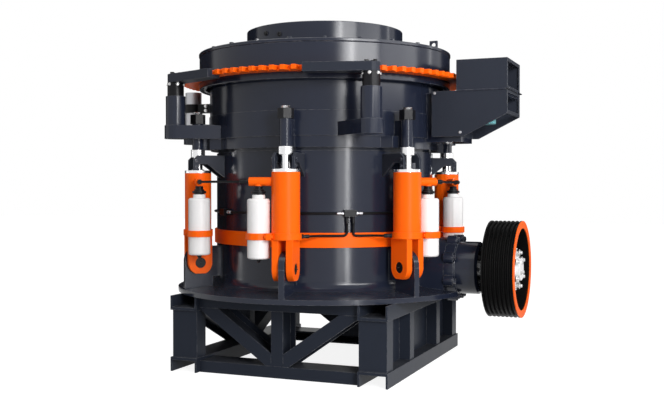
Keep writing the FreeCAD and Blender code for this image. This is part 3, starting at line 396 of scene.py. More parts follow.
SLOT_FINISH = {
    "slate_paint": slate_paint, "stand_paint": stand_paint, "orange_paint": orange_paint,
    "white_paint": white_paint, "motor_paint": motor_paint, "bright_steel": bright_steel,
    "black_steel": black_steel, "rubber": rubber_skin, "wear_steel": wear_steel}
OWN_FINISH = {
    "sheave": sheave_black, "steady_post": satin_steel, "sheave_bushing": hub_silver,
    "drive_housing": sheet_paint, "drive_cover": sheet_paint, "guide_plates": sheet_paint,
    "gland_gussets": sheet_paint}
print(len(bpy.data.materials), "finishes")

# %% [markdown]
# The pieces sit on the solids, so their places come from the solids' own boxes and from a few sizes of the
# machine. A helper gives a point on a circle round the crusher axis, another the direction out. Places could
# be typed in one by one, but six cylinders and four posts follow a circle, and one number moves them all.


# %% Places on the machine
def spot(radius, degrees, height):
    """Point on a circle about the crusher axis."""
    angle = math.radians(degrees)
    return Vector((radius * math.cos(angle), radius * math.sin(angle), height))


def outward(degrees):
    """Level direction away from the crusher axis."""
    return spot(1.0, degrees, 0.0)


def aside(degrees):
    """Level direction along the circle, anticlockwise seen from above."""
    return spot(1.0, degrees + 90, 0.0)


def levels(node):
    """Heights of the lowest and the highest point of a solid."""
    low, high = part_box(node)
    return low[2], high[2]


UP = Vector((0, 0, 1))
DOWN = Vector((0, 0, -1))
ALONG = Vector((1, 0, 0))
# Each pair is a cylinder's angle on the circle and the angle by which its bottle swings from straight out.
CYLINDER_SETS = ((36.5, -95.0), (100.5, 85.0), (165.0, -85.0), (225.0, 78.0), (277.5, -82.0), (326.8, 90.0))
CYLINDERS = [angle for angle, swing in CYLINDER_SETS]
POSTS = (-52.4, -135.0, 52.4, 135.0)
CYLINDER_CIRCLE = 1.1
POST_CIRCLE = 1.28
SHELL_R = 0.908
BOTTLE_REACH = 0.2025


def bottle_spot(angle, swing, height):
    """Point on the axis of a cylinder's bottle."""
    return spot(CYLINDER_CIRCLE, angle, height) + outward(angle + swing) * BOTTLE_REACH


CENTRE = (0.0, 0.0)
STEADY = (-1.278, 0.0)
RODS = [tuple(spot(CYLINDER_CIRCLE, angle, 0).xy) for angle in CYLINDERS]
BOTTLES = [tuple(bottle_spot(angle, swing, 0).xy) for angle, swing in CYLINDER_SETS]
POST_PLACES = [tuple(spot(POST_CIRCLE, angle, 0).xy) for angle in POSTS]
strap_low = levels("accumulator_brackets")[0]
gland_top = levels("cylinder_glands")[1]
shaft_height = sum(levels("sheave")) / 2
print("glands end at", round(gland_top, 3), "and the shaft is at", round(shaft_height, 3))

# %% [markdown]
# A real casting or weldment has no knife edges, and a narrow rounded edge is what catches the light. Each
# solid is copied, its loose triangles are merged and its flat faces joined, and a Bevel modifier rounds what
# is sharper than 30 degrees. The bevel alone would leave each facet of a round wall flat, and a long
# highlight would break up on it. So the normal at each corner is the mean of the facets round it that bend
# less than 12 degrees from its own facet, and a large facet counts for more than a small one. Plain smooth
# shading takes no account of size, and there the narrow bevels would pull the shading of a wall.


# %% Corner normals over gentle bends
# Least values that keep a division from failing where a facet has no size.
LEAST_SIDES = 1e-12
LEAST_WEIGHT = 1e-15


def column(items, label, width=1, kind=float):
    """One property of all vertices, corners or faces of a mesh, as an array."""
    values = np.empty(len(items) * width, dtype=kind)
    items.foreach_get(label, values)
    return values.reshape(-1, width) if width > 1 else values


def smoothed_normals(mesh, bend=12.0):
    """Normal at each corner, its place, its facet's normal and its facet."""
    normals = column(mesh.corner_normals, "vector", 3)
    vertex_of = column(mesh.loops, "vertex_index", kind=int)
    points = column(mesh.vertices, "co", 3)
    face_normals = column(mesh.polygons, "normal", 3)
    starts = column(mesh.polygons, "loop_start", kind=int)
    totals = column(mesh.polygons, "loop_total", kind=int)
    areas = column(mesh.polygons, "area")
    face_of = np.repeat(np.arange(len(totals)), totals)
    corner = np.arange(len(vertex_of))
    # The opening of a facet at a corner is the angle between its two sides there.
    inside = corner - starts[face_of]
    after = starts[face_of] + (inside + 1) % totals[face_of]
    before = starts[face_of] + (inside - 1) % totals[face_of]
    here = points[vertex_of]
    to_next = points[vertex_of[after]] - here
    to_last = points[vertex_of[before]] - here
    lengths = np.linalg.norm(to_next, axis=1) * np.linalg.norm(to_last, axis=1) + LEAST_SIDES
    opening = np.arccos(np.clip((to_next * to_last).sum(1) / lengths, -1, 1))
    # Each corner is paired with every corner at the same vertex.
    order = np.argsort(vertex_of, kind="stable")
    counts = np.bincount(vertex_of, minlength=len(points))
    first_at = np.cumsum(counts) - counts
    around = counts[vertex_of]
    asking = np.repeat(corner, around)
    step = np.arange(len(asking)) - np.repeat(np.cumsum(around) - around, around)
    neighbour = order[first_at[vertex_of[asking]] + step]
    # Facets that bend only a little from the corner's own facet are averaged.
    facing = face_normals[face_of[neighbour]]
    close = (face_normals[face_of[asking]] * facing).sum(1) > math.cos(math.radians(bend))
    weight = opening[neighbour] * areas[face_of[neighbour]] * close
    sums = [np.bincount(asking, weight * facing[:, axis], len(corner)) for axis in range(3)]
    total = np.stack(sums, axis=1)
    length = np.linalg.norm(total, axis=1, keepdims=True)
    smooth = np.where(length > LEAST_WEIGHT, total / np.maximum(length, LEAST_WEIGHT), normals)
    return smooth, here, face_normals[face_of], face_of


# %% [markdown]
# Many walls of the machine are known to be round: the rings about the crusher axis, and the rods, bottles
# and posts about their own. There the true normal is simply the direction away from the axis, so the corner
# gets that. Only a facet that faces the axis, or away from it, and is as far from it at all its corners is
# part of such a wall. The cones about the crusher axis keep their slope.


# %% Exact normals of round walls
# A facet is upright or level by the height part of its normal.
UPRIGHT = 0.02
LEVEL = 0.97
LEAST_LEVEL = 1e-6
LEAST_REACH = 1e-9


def radial_normals(normals, here, facets, face_of, axes, within=14.0, uneven=0.002):
    """Corner normals that point straight away from an axis on the walls that are round about it."""
    starts = np.searchsorted(face_of, np.arange(face_of[-1] + 1))
    slope = np.abs(facets[:, 2])
    level = np.maximum(np.linalg.norm(facets[:, :2], axis=1), LEAST_LEVEL)
    for x, y in axes:
        away = (here - (x, y, 0)) * (1, 1, 0)
        reach = np.linalg.norm(away, axis=1)
        away /= np.maximum(reach, LEAST_REACH)[:, None]
        spans = np.maximum.reduceat(reach, starts) - np.minimum.reduceat(reach, starts)
        lean = (facets * away).sum(1) / level
        on_wall = (slope < UPRIGHT) & (spans[face_of] < uneven)
        if (x, y) == CENTRE:
            on_wall |= (slope >= UPRIGHT) & (slope < LEVEL)
        on_wall &= np.abs(lean) > math.cos(math.radians(within))
        out = np.linalg.norm(normals[:, :2], axis=1) * np.sign(lean)
        round_normals = away * out[:, None] + normals * (0, 0, 1)
        normals = np.where(on_wall[:, None], round_normals, normals)
    return normals


ROUND_ABOUT = {node: [CENTRE] for node in (
    "main_frame", "adjustment_cap", "cap_cover", "feed_hopper", "frame_band", "drive_ring", "bowl",
    "guide_plates", "bowl_liner", "mantle", "feed_plate", "crusher_head")}
ROUND_ABOUT.update({
    "adjustment_ring": [CENTRE] + RODS, "release_cylinders": RODS, "cylinder_glands": RODS,
    "release_rods": RODS, "accumulators": BOTTLES, "accumulator_valves": BOTTLES,
    "accumulator_brackets": BOTTLES + RODS, "guide_posts": POST_PLACES, "guide_collars": POST_PLACES,
    "steady_post": [STEADY]})
print(len(ROUND_ABOUT), "solids have walls that are round about an axis")


# %% Rounded copies of the solids
MERGE_WITHIN = 1e-5
FLAT_WITHIN = math.radians(0.4)
SHARPER_THAN = math.radians(30.0)
EDGE_STEPS = 2
EDGE_USUAL = 0.002
EDGE = {
    "main_frame": 0.006, "main_frame_hub": 0.004, "adjustment_ring": 0.005, "adjustment_cap": 0.005,
    "cap_cover": 0.005, "feed_hopper": 0.005, "bowl": 0.004, "bowl_liner": 0.004, "mantle": 0.004,
    "crusher_head": 0.0, "countershaft_housing": 0.003, "accumulators": 0.002, "drive_ring": 0.0025,
    "sheave": 0.0012, "sheave_face_ring": 0.001, "ring_line": 0.0, "tee_hoses": 0.0, "drop_hoses": 0.0}


def round_edges(piece, width):
    """Bevel modifier on a piece."""
    bevel = piece.modifiers.new("rounded edges", "BEVEL")
    bevel.width = width
    bevel.segments = EDGE_STEPS
    return bevel


def rounded_copy(node, width):
    """Merged copy of a solid with rounded edges, riding on the same body."""
    source = frame["nodes"][node]
    mesh = source.data.copy()
    mesh.materials.clear()
    work = bmesh.new()
    work.from_mesh(mesh)
    bmesh.ops.remove_doubles(work, verts=work.verts, dist=MERGE_WITHIN)
    bmesh.ops.dissolve_limit(work, angle_limit=FLAT_WITHIN, verts=work.verts, edges=work.edges)
    for face in work.faces:
        face.smooth = True
    work.to_mesh(mesh)
    work.free()
    slot = slot_of[node]
    mesh.materials.append(OWN_FINISH.get(node, SLOT_FINISH[slot]))
    piece = show(bpy.data.objects.new(node + "_finished", mesh))
    if width:
        bevel = round_edges(piece, width)
        bevel.limit_method = "ANGLE"
        bevel.angle_limit = SHARPER_THAN
        bevel.harden_normals = True
        graph = bpy.context.evaluated_depsgraph_get()
        piece.data = bpy.data.meshes.new_from_object(piece.evaluated_get(graph))
        piece.modifiers.remove(bevel)
        normals, *corners = smoothed_normals(piece.data)
        normals = radial_normals(normals, *corners, ROUND_ABOUT.get(node, ()))
        piece.data.normals_split_custom_set([tuple(n) for n in normals])
    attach(piece, source["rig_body"])
    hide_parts(node)
    return piece


slot_of = {row["node"]: row["material_slot"] for row in frame["record"]["subparts"]}
finished = {node: rounded_copy(node, EDGE.get(node, EDGE_USUAL)) for node in sorted(frame["nodes"])}
print(len(finished), "solids finished")

# %% [markdown]
# Bolts, nuts and hose fittings repeat by the dozen. Each kind is one small template of level rings, drawn at
# the origin and facing +Z, about one unit across. One Geometry Nodes tree then puts a template at every
# place. The places are a mesh of loose points that know which way they face. Linked copies would look the
# same, but the tree ends in real geometry, which the export needs.


# %% Templates
def stack(work, rings, sides):
    """Closed solid through level rings, each a radius and a height."""
    loops = []
    for radius, height in rings:
        loop = []
        for i in range(sides):
            angle = math.tau * i / sides
            loop.append(work.verts.new((radius * math.cos(angle), radius * math.sin(angle), height)))
        loops.append(loop)
    close_tube(work, loops)


def close_tube(work, loops):
    """Walls between rings of vertices, and a face over each end."""
    for low, high in zip(loops, loops[1:]):
        for i in range(len(low)):
            j = (i + 1) % len(low)
            work.faces.new((low[i], low[j], high[j], high[i]))
    work.faces.new(list(reversed(loops[0])))
    work.faces.new(loops[-1])


def template(name, stacks):
    """Hidden template made of stacks of rings."""
    work = bmesh.new()
    for sides, rings in stacks:
        stack(work, rings, sides)
    mesh = bpy.data.meshes.new(name)
    work.to_mesh(mesh)
    work.free()
    return bpy.data.objects.new(name, mesh)


# Radius to the corners of a hexagon that is one unit across its flats.
HEX_R = 1 / math.sqrt(3)
WASHER = (20, [(0.60, 0.0), (0.64, 0.02), (0.64, 0.08), (0.60, 0.1)])
STUD_THREAD = [(0.30 if i % 2 else 0.265, 0.5 + 0.04 * i) for i in range(13)]
TEMPLATES = {
    "hex bolt": [WASHER, (6, [(HEX_R, 0.1), (HEX_R, 0.46), (HEX_R - 0.07, 0.52)]),
                 (16, [(0.46, 0.5), (0.44, 0.53)])],
    "stud and nut": [WASHER, (6, [(HEX_R - 0.04, 0.1), (HEX_R, 0.14), (HEX_R, 0.56), (HEX_R - 0.07, 0.62)]),
                     (16, STUD_THREAD + [(0.24, 1.02)])],
    "hose fitting": [(6, [(HEX_R - 0.05, 0.0), (HEX_R, 0.05), (HEX_R, 0.5), (HEX_R - 0.06, 0.56)]),
                     (14, [(0.42, 0.5), (0.42, 0.95), (0.47, 1.0), (0.47, 1.9), (0.43, 1.95), (0.3, 2.05)])],
    "bare plug": [(14, [(0.46, 0.0), (0.5, 0.04), (0.5, 0.3), (0.42, 0.36)]),
                  (6, [(0.3, 0.3), (0.3, 0.62), (0.26, 0.66)])],
    "grease nipple": [(6, [(0.5, 0.0), (0.5, 0.5)]),
                      (12, [(0.3, 0.5), (0.22, 0.9), (0.34, 1.2), (0.2, 1.5)])],
}
templates = {name: template(name, stacks) for name, stacks in TEMPLATES.items()}
print("templates:", {name: len(piece.data.polygons) for name, piece in templates.items()})


# %% Geometry Nodes tree that puts a template at each place
def stored(tree, label, kind):
    """Value that the places carry under a name."""
    node = add(tree, "GeometryNodeInputNamedAttribute", data_type=kind)
    node.inputs["Name"].default_value = label
    return node.outputs["Attribute"]


def places_tree():
    """Tree with the template, its size and its finish as inputs."""
    tree = bpy.data.node_groups.new("pieces at places", "GeometryNodeTree")
    for label, kind in (("Places", "NodeSocketGeometry"), ("Piece", "NodeSocketObject"),
                        ("Across", "NodeSocketFloat"), ("Finish", "NodeSocketMaterial")):
        tree.interface.new_socket(label, in_out="INPUT", socket_type=kind)
    tree.interface.new_socket("Pieces", in_out="OUTPUT", socket_type="NodeSocketGeometry")
    entry = tree.nodes.new("NodeGroupInput")
    leave = tree.nodes.new("NodeGroupOutput")
    shape = add(tree, "GeometryNodeObjectInfo")
    wire(tree, entry.outputs["Piece"], shape.inputs["Object"])
    aim = add(tree, "FunctionNodeAlignRotationToVector", axis="Z")
    wire(tree, stored(tree, "facing", "FLOAT_VECTOR"), aim.inputs["Vector"])
    about = add(tree, "ShaderNodeCombineXYZ")
    wire(tree, stored(tree, "spin", "FLOAT"), about.inputs["Z"])
    spun = add(tree, "FunctionNodeEulerToRotation")
    wire(tree, about.outputs["Vector"], spun.inputs["Euler"])
    turn = add(tree, "FunctionNodeRotateRotation", rotation_space="LOCAL")
    wire(tree, aim.outputs["Rotation"], turn.inputs["Rotation"])
    wire(tree, spun.outputs["Rotation"], turn.inputs["Rotate By"])
    place = add(tree, "GeometryNodeInstanceOnPoints")
    wire(tree, entry.outputs["Places"], place.inputs["Points"])
    wire(tree, shape.outputs["Geometry"], place.inputs["Instance"])
    wire(tree, turn.outputs["Rotation"], place.inputs["Rotation"])
    wire(tree, entry.outputs["Across"], place.inputs["Scale"])
    real = add(tree, "GeometryNodeRealizeInstances")
    wire(tree, place.outputs["Instances"], real.inputs["Geometry"])
    coat = add(tree, "GeometryNodeSetMaterial")
    wire(tree, real.outputs["Geometry"], coat.inputs["Geometry"])
    wire(tree, entry.outputs["Finish"], coat.inputs["Material"])
    wire(tree, coat.outputs["Geometry"], leave.inputs["Pieces"])
    return tree


at_places = places_tree()
print("tree:", at_places.name, len(at_places.nodes), "nodes")


# %% Copies of a template as one piece
SPIN_SEED = 1


def baked(name, carrier, values):
    """Plain mesh from the tree on a mesh of places, with its inputs set by identifier."""
    show(carrier)
    modifier = carrier.modifiers.new("nodes", "NODES")
    modifier.node_group = at_places
    for item in at_places.interface.items_tree:
        if item.item_type == "SOCKET" and item.in_out == "INPUT" and item.name in values:
            modifier[item.identifier] = values[item.name]
    graph = bpy.context.evaluated_depsgraph_get()
    mesh = bpy.data.meshes.new_from_object(carrier.evaluated_get(graph))
    mesh.name = name
    carrier.modifiers.remove(modifier)
    bpy.data.objects.remove(carrier)
    return mesh


def new_piece(name, mesh, body):
    """Object of the machine that rides on a body, with its count of faces printed."""
    piece = show(bpy.data.objects.new(name, mesh))
    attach(piece, body)
    print(name, len(mesh.polygons), "faces")
    return piece


def fit_all(name, body, slot, kind, places, across, own_finish=None):
    """One piece of copies of a template, so much across; a place is a point and a direction."""
    chance = random.Random(SPIN_SEED)
    mesh = bpy.data.meshes.new(name + " places")
    mesh.from_pydata([tuple(point) for point, _ in places], [], [])
    mesh.attributes.new("facing", "FLOAT_VECTOR", "POINT")
    mesh.attributes.new("spin", "FLOAT", "POINT")
    facing = mesh.attributes["facing"]
    spin = mesh.attributes["spin"]
    for i, (_, direction) in enumerate(places):
        facing.data[i].vector = Vector(direction).normalized()
        spin.data[i].value = chance.uniform(0, math.tau)
    carrier = bpy.data.objects.new(name + " places", mesh)
    copies = baked(name, carrier, {
        "Piece": templates[kind], "Across": across, "Finish": own_finish or SLOT_FINISH[slot]})
    return new_piece(name, copies, body)


# %% [markdown]
# Bolts on the fixed frame. The countershaft housing is bolted to the boss through its lobed flange, its end
# cap has a ring of small bolts, the stand has four foundation bolts, each bottle strap is clamped by bolts
# through its two ears, and the gussets at the glands are bolted from both sides. They could be placed one by
# one, but a ring of bolts is one formula, and what belongs to a cylinder is a loop over the cylinders.


# %% Bolts of the fixed frame
def evenly(count, first=0.0):
    """Angles at even steps all round."""
    return [first + 360.0 * i / count for i in range(count)]


def round_shaft(radius, x, count, first=0.0):
    """Points on a circle about the countershaft."""
    turns = [math.radians(degrees) for degrees in evenly(count, first)]
    return [Vector((x, radius * math.cos(t), shaft_height + radius * math.sin(t))) for t in turns]


FLANGE_FACE = 1.178
FLANGE_CIRCLE = 0.240
HOUSING_END = 1.355
HOUSING_CIRCLE = 0.160
lobe_nuts = [(p, ALONG) for p in round_shaft(FLANGE_CIRCLE, FLANGE_FACE, 8, 22.5)]
fit_all("housing_flange_nuts", "fixed_frame", "slate_paint", "hex bolt", lobe_nuts, across=0.038)
cap_bolts = [(p, ALONG) for p in round_shaft(HOUSING_CIRCLE, HOUSING_END, 10)]
fit_all("housing_cap_bolts", "fixed_frame", "black_steel", "hex bolt", cap_bolts, across=0.026)
ANCHOR_X = 0.45
ANCHOR_Y = 0.822
SKID_TOP = 0.016
anchors = [(Vector((x, y, SKID_TOP)), UP) for x in (-ANCHOR_X, ANCHOR_X) for y in (-ANCHOR_Y, ANCHOR_Y)]
fit_all("foundation_bolts", "fixed_frame", "bright_steel", "stud and nut", anchors, 0.050, bolt_steel)

# %% Bolts of the straps and the gussets
STRAP_RISE = 0.0245
STRAP_MIDDLE = 0.11125
EAR_ASIDE = 0.092
EAR_HALF = 0.02
strap_bolts = []
for angle, swing in CYLINDER_SETS:
    way = outward(angle + swing)
    middle = spot(CYLINDER_CIRCLE, angle, strap_low + STRAP_RISE) + way * STRAP_MIDDLE
    for side in (-1, 1):
        ear = middle + aside(angle + swing) * side * EAR_ASIDE
        strap_bolts.append((ear + way * EAR_HALF, way))
        strap_bolts.append((ear - way * EAR_HALF, -way))
fit_all("strap_bolts", "fixed_frame", "orange_paint", "hex bolt", strap_bolts, across=0.024)

GUSSET_OUT = 0.037
GUSSET_FACE = 0.087
GUSSET_HOLES = (0.026, 0.076)
gusset_bolts = []
for angle in CYLINDERS:
    for side in (-1, 1):
        for height in GUSSET_HOLES:
            place = spot(CYLINDER_CIRCLE + GUSSET_OUT, angle, gland_top + height)
            gusset_bolts.append((place + aside(angle) * side * GUSSET_FACE, aside(angle) * side))
fit_all("gusset_bolts", "fixed_frame", "slate_paint", "hex bolt", gusset_bolts, across=0.020)

# %% [markdown]
# The pins of the clevises turn in the frame's lugs, so each end of a pin has a grease nipple in its middle.
# It is the smallest thing on the machine and still a template like the bolts.

# %% Nipples of the pins
PIN_HALF = 0.075
pin_height = sum(levels("cylinder_pins")) / 2
nipples = []
for angle in CYLINDERS:
    for side in (-1, 1):
        end = spot(CYLINDER_CIRCLE, angle, pin_height) + aside(angle) * side * PIN_HALF
        nipples.append((end, aside(angle) * side))
fit_all("pin_nipples", "fixed_frame", "black_steel", "grease nipple", nipples, across=0.012)

# %% [markdown]
# Hydraulic fittings. The ring line enters and leaves each block through a fitting, two hoses leave the block
# below, and a fitting closes the outer end of each tee. A barrel's port is turned 120 degrees from straight
# out, to the side of its block. That is the rule of the solid hoses too, so each fitting closes on its hose.

# %% Fittings of the ring line
LINE_HEIGHT = sum(levels("ring_line")) / 2
LINE_OUT = 0.014
LINE_R = SHELL_R + LINE_OUT
BLOCKS = (-126.7, -55.7, 62.1)
BLOCK_HALF = 0.047
line_fittings = []
for block in BLOCKS:
    for side in (-1, 1):
        end = spot(LINE_R, block, LINE_HEIGHT) + aside(block) * side * BLOCK_HALF
        line_fittings.append((end, aside(block) * side))
fit_all("line_fittings", "fixed_frame", "bright_steel", "hose fitting", line_fittings, 0.026, satin_steel)

# %% Fittings of the hoses to the barrels
DROPS = ((BLOCKS[1], 4), (BLOCKS[1], 5), (BLOCKS[2], 0), (BLOCKS[2], 1))
DROP_OUT = 0.017
DROP_R = LINE_R + DROP_OUT
DROP_ASIDE = 0.024
BLOCK_DEEP = 0.025
PORT_RISE = 0.022
PORT_REACH = 0.1165
PORT_TURN = math.radians(120)
drop_fittings = []
barrel_fittings = []
for block, index in DROPS:
    angle = CYLINDERS[index]
    turn = (angle - block + 180) % 360 - 180
    way = math.copysign(1.0, turn)
    start = block + way * math.degrees(DROP_ASIDE / DROP_R)
    drop_fittings.append((spot(DROP_R, start, LINE_HEIGHT - BLOCK_DEEP), DOWN))
    port = outward(angle) * math.cos(PORT_TURN) - aside(angle) * way * math.sin(PORT_TURN)
    barrel_fittings.append((spot(CYLINDER_CIRCLE, angle, strap_low + PORT_RISE) + port * PORT_REACH, port))
fit_all("drop_fittings", "fixed_frame", "black_steel", "hose fitting", drop_fittings, across=0.026)
fit_all("barrel_fittings", "fixed_frame", "black_steel", "hose fitting", barrel_fittings, across=0.030)

# %% Fittings of the tees
TEE_HEIGHT = sum(levels("tee_hoses")) / 2
TEE_END = 0.07
TEE_REACH = BOTTLE_REACH + TEE_END
tee_fittings = []
for angle, swing in CYLINDER_SETS:
    way = outward(angle + swing)
    tee_fittings.append((spot(CYLINDER_CIRCLE, angle, TEE_HEIGHT) + way * TEE_REACH, way))
fit_all("tee_fittings", "fixed_frame", "black_steel", "hose fitting", tee_fittings, across=0.036)

# %% [markdown]
# Each bottle is charged through a black valve whose middle widens to a disc, and a plug closes its lower end.
# The disc is one more template, and so is the dust seal on top of each gland. They could be solids of their
# own, but such small turned rings only matter to the eye.

# %% Valve discs, seals and plugs
DISC_DROP = 0.047
templates["valve disc"] = template("valve disc", [
    (28, [(0.34, -0.1), (0.5, -0.08), (0.5, 0.08), (0.34, 0.1)])])
templates["dust seal"] = template("dust seal", [
    (40, [(0.5, 0.0), (0.5, 0.05), (0.47, 0.08), (0.375, 0.08), (0.365, 0.06)])])
valve_top = levels("accumulator_valves")[1]
bottle_low = levels("accumulators")[0]
discs = [(bottle_spot(angle, swing, valve_top - DISC_DROP), UP) for angle, swing in CYLINDER_SETS]
fit_all("valve_discs", "fixed_frame", "black_steel", "valve disc", discs, across=0.108)
seals = [(spot(CYLINDER_CIRCLE, angle, gland_top), UP) for angle in CYLINDERS]
fit_all("rod_seals", "fixed_frame", "bright_steel", "dust seal", seals, across=0.1)
plugs = [(bottle_spot(angle, swing, bottle_low), DOWN) for angle, swing in CYLINDER_SETS]
fit_all("bottle_plugs", "fixed_frame", "black_steel", "bare plug", plugs, across=0.040)

# %% [markdown]
# The end of each release rod stands a little above its nut, and its thread shows there. The pitch is too fine
# to see as a helix, so the crests are plain rings.

# %% Threads on the rod ends
CRESTS = [(0.502 + 0.014 * (k % 2), 0.02 * k + 0.01) for k in range(12)]
templates["rod thread"] = template("rod thread", [(28, [(0.5, 0.0)] + CRESTS + [(0.47, 0.262)])])
nut_top = levels("rod_nuts")[1]
rod_ends = [(spot(CYLINDER_CIRCLE, angle, nut_top), UP) for angle in CYLINDERS]
fit_all("rod_threads", "lifting_ring", "bright_steel", "rod thread", rod_ends, across=0.072)

# %% [markdown]
# Bolts of the lifting ring. Each guide plate is bolted to its post from above by three bolts, and the collar
# below it has six with bright heads. The clamp of the steady post, the drive housing and the motor's flange
# have bolts as well. They all rise with the ring, so they ride on its body.

# %% Bolts of the guide posts
PLATE_CIRCLE = 0.036
COLLAR_R = 0.064
COLLAR_DROP = 0.014
plate_low, plate_high = levels("guide_plates")
plate_bolts = []
collar_bolts = []
for angle in POSTS:
    centre = spot(POST_CIRCLE, angle, 0)
    for turn in evenly(3, angle + 30):
        plate_bolts.append((centre + spot(PLATE_CIRCLE, turn, plate_high), UP))
    for turn in evenly(6, angle + 30):
        facing = outward(turn)
        collar_bolts.append((centre + facing * COLLAR_R + UP * (plate_low - COLLAR_DROP), facing))
fit_all("plate_bolts", "lifting_ring", "black_steel", "hex bolt", plate_bolts, across=0.030)
fit_all("collar_bolts", "lifting_ring", "bright_steel", "hex bolt", collar_bolts, 0.019, bolt_steel)

# %% Bolts of the drive housing, its motor and the steady post
housing_low, housing_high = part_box("drive_housing")
box_out, box_half, box_split = housing_high
box_low = housing_low[2]
cover_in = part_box("drive_cover")[0][0]
housing_places = ((1.03, box_split - 0.015), (1.235, box_low + 0.03))
housing_bolts = []
for side in (-1, 1):
    for x, height in housing_places:
        housing_bolts.append((Vector((x, side * box_half, height)), Vector((0, side, 0))))
fit_all("housing_bolts", "lifting_ring", "bright_steel", "hex bolt", housing_bolts, 0.018, satin_steel)

MOTOR_X = 1.353
MOTOR_CIRCLE = 0.135
MOTOR_PLATE = 0.025
motor_top = levels("drive_motor")[1]
motor_middle = Vector((MOTOR_X, 0, motor_top - MOTOR_PLATE))
motor_bolts = [(motor_middle + spot(MOTOR_CIRCLE, turn, 0), DOWN) for turn in evenly(8, 22.5)]
fit_all("motor_bolts", "lifting_ring", "bright_steel", "hex bolt", motor_bolts, 0.030, bolt_steel)

CLAMP_X = -1.13
CLAMP_HALF = 0.04
CLAMP_STEP = 0.02
clamp_height = sum(levels("steady_clamp")) / 2
clamp_bolts = []
for side in (-1, 1):
    for rise in (-CLAMP_STEP, CLAMP_STEP):
        clamp_bolts.append((Vector((CLAMP_X, side * CLAMP_HALF, clamp_height + rise)), Vector((0, side, 0))))
fit_all("clamp_bolts", "lifting_ring", "bright_steel", "hex bolt", clamp_bolts, 0.024, bolt_steel)

# %% [markdown]
# The two halves of the drive housing meet in a thin seam flange that stands proud all round. It is a plain
# plate, so a few boxes are enough. The lip at the outer end is a little thinner than the sides, so that no
# two faces lie in one plane.


# %% Seam flange of the drive housing
def boxes(name, corners, body, slot):
    """Closed boxes between pairs of corners, in one rounded piece."""
    work = bmesh.new()
    for low, high in corners:
        made = bmesh.ops.create_cube(work, size=1.0)["verts"]
        bmesh.ops.scale(work, vec=Vector(high) - Vector(low), verts=made)
        bmesh.ops.translate(work, vec=(Vector(high) + Vector(low)) / 2, verts=made)
    mesh = bpy.data.meshes.new(name)
    work.to_mesh(mesh)
    work.free()
    mesh.materials.append(SLOT_FINISH[slot])
    piece = new_piece(name, mesh, body)
    round_edges(piece, SEAM_EDGE)
    return piece


SEAM_EDGE = 0.001
SEAM_HALF = 0.004
SEAM_PROUD = 0.010
SEAM_INSIDE = 0.012
LIP_LONGER = 0.006
LIP_THINNER = 0.0005
seam_low = box_split - SEAM_HALF
seam_high = box_split + SEAM_HALF
wide = box_half + SEAM_PROUD
seam = [
    ((cover_in + SEAM_INSIDE, -wide, seam_low), (box_out + SEAM_PROUD, -box_half, seam_high)),
    ((cover_in + SEAM_INSIDE, box_half, seam_low), (box_out + SEAM_PROUD, wide, seam_high)),
    ((box_out - SEAM_INSIDE, -wide, seam_low + LIP_THINNER),
     (box_out + SEAM_PROUD + LIP_LONGER, wide, seam_high - LIP_THINNER))]
boxes("housing_seam", seam, "lifting_ring", "slate_paint")

# %% [markdown]
# The motor has its own colour, but the plate on its top belongs to the housing and is painted with it. The
# two are one mesh here, so the faces of the plate get a second material by their height.

# %% Painted plate of the drive motor
PLATE_SLACK = 0.0005
motor = finished["drive_motor"]
motor.data.materials.append(slate_paint)
plate_bottom = motor_top - MOTOR_PLATE - PLATE_SLACK
for face in motor.data.polygons:
    if min(motor.data.vertices[i].co.z for i in face.vertices) > plate_bottom:
        face.material_index = 1
print("motor faces in slate:", sum(face.material_index for face in motor.data.polygons))

# %% [markdown]
# Bolts of the cap. The cover plate is bolted to the cap near its rim, the hopper ring stands on a row of
# bolts of its own, and the ring is clamped to its liner by two small bolts on the left.

# %% Bolts of the cap and the hopper
COVER_CIRCLE = 1.012
HOPPER_CIRCLE = 0.695
HOPPER_R = 0.655
HOPPER_SCREWS = ((-112.7, 2.672), (-100.2, 2.652))
cover_top = levels("cap_cover")[1]
cover_bolts = [(spot(COVER_CIRCLE, turn, cover_top), UP) for turn in evenly(24, 7.5)]
fit_all("cover_bolts", "bowl_assembly", "slate_paint", "hex bolt", cover_bolts, across=0.030)
screws = [(spot(HOPPER_R, angle, height), outward(angle)) for angle, height in HOPPER_SCREWS]
fit_all("hopper_clamp_screws", "bowl_assembly", "black_steel", "hex bolt", screws, across=0.030)
hopper_bolts = [(spot(HOPPER_CIRCLE, turn, cover_top), UP) for turn in evenly(16, 11.25)]
fit_all("hopper_bolts", "bowl_assembly", "slate_paint", "stud and nut", hopper_bolts, across=0.034)

# %% [markdown]
# The sheave is held by a taper bushing. Its bolts stand proud of the bright face, in a ring round the shaft,
# with three smaller ones further in. They ride on the shaft, so they turn with it.

# %% Bolts of the sheave
BUSHING_STEP = 0.042
BUSHING_CIRCLE = 0.130
SHAFT_CIRCLE = 0.052
bushing_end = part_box("sheave_bushing")[1][0]
bushing_face = bushing_end - BUSHING_STEP
hub_bolts = [(p, ALONG) for p in round_shaft(BUSHING_CIRCLE, bushing_face, 6, 30)]
fit_all("hub_bolts", "sheave_shaft", "bright_steel", "stud and nut", hub_bolts, 0.046, bolt_steel)
end_bolts = [(p, ALONG) for p in round_shaft(SHAFT_CIRCLE, bushing_face + BUSHING_STEP, 3, 90)]
fit_all("shaft_end_bolts", "sheave_shaft", "bright_steel", "hex bolt", end_bolts, 0.024, bolt_steel)

# %% [markdown]
# Wear parts seen from above, through the hopper. The feed plate is kept by a ring of bolts, and the big lock
# bolt has a hexagon. The bolt's template serves for both, at its own size.

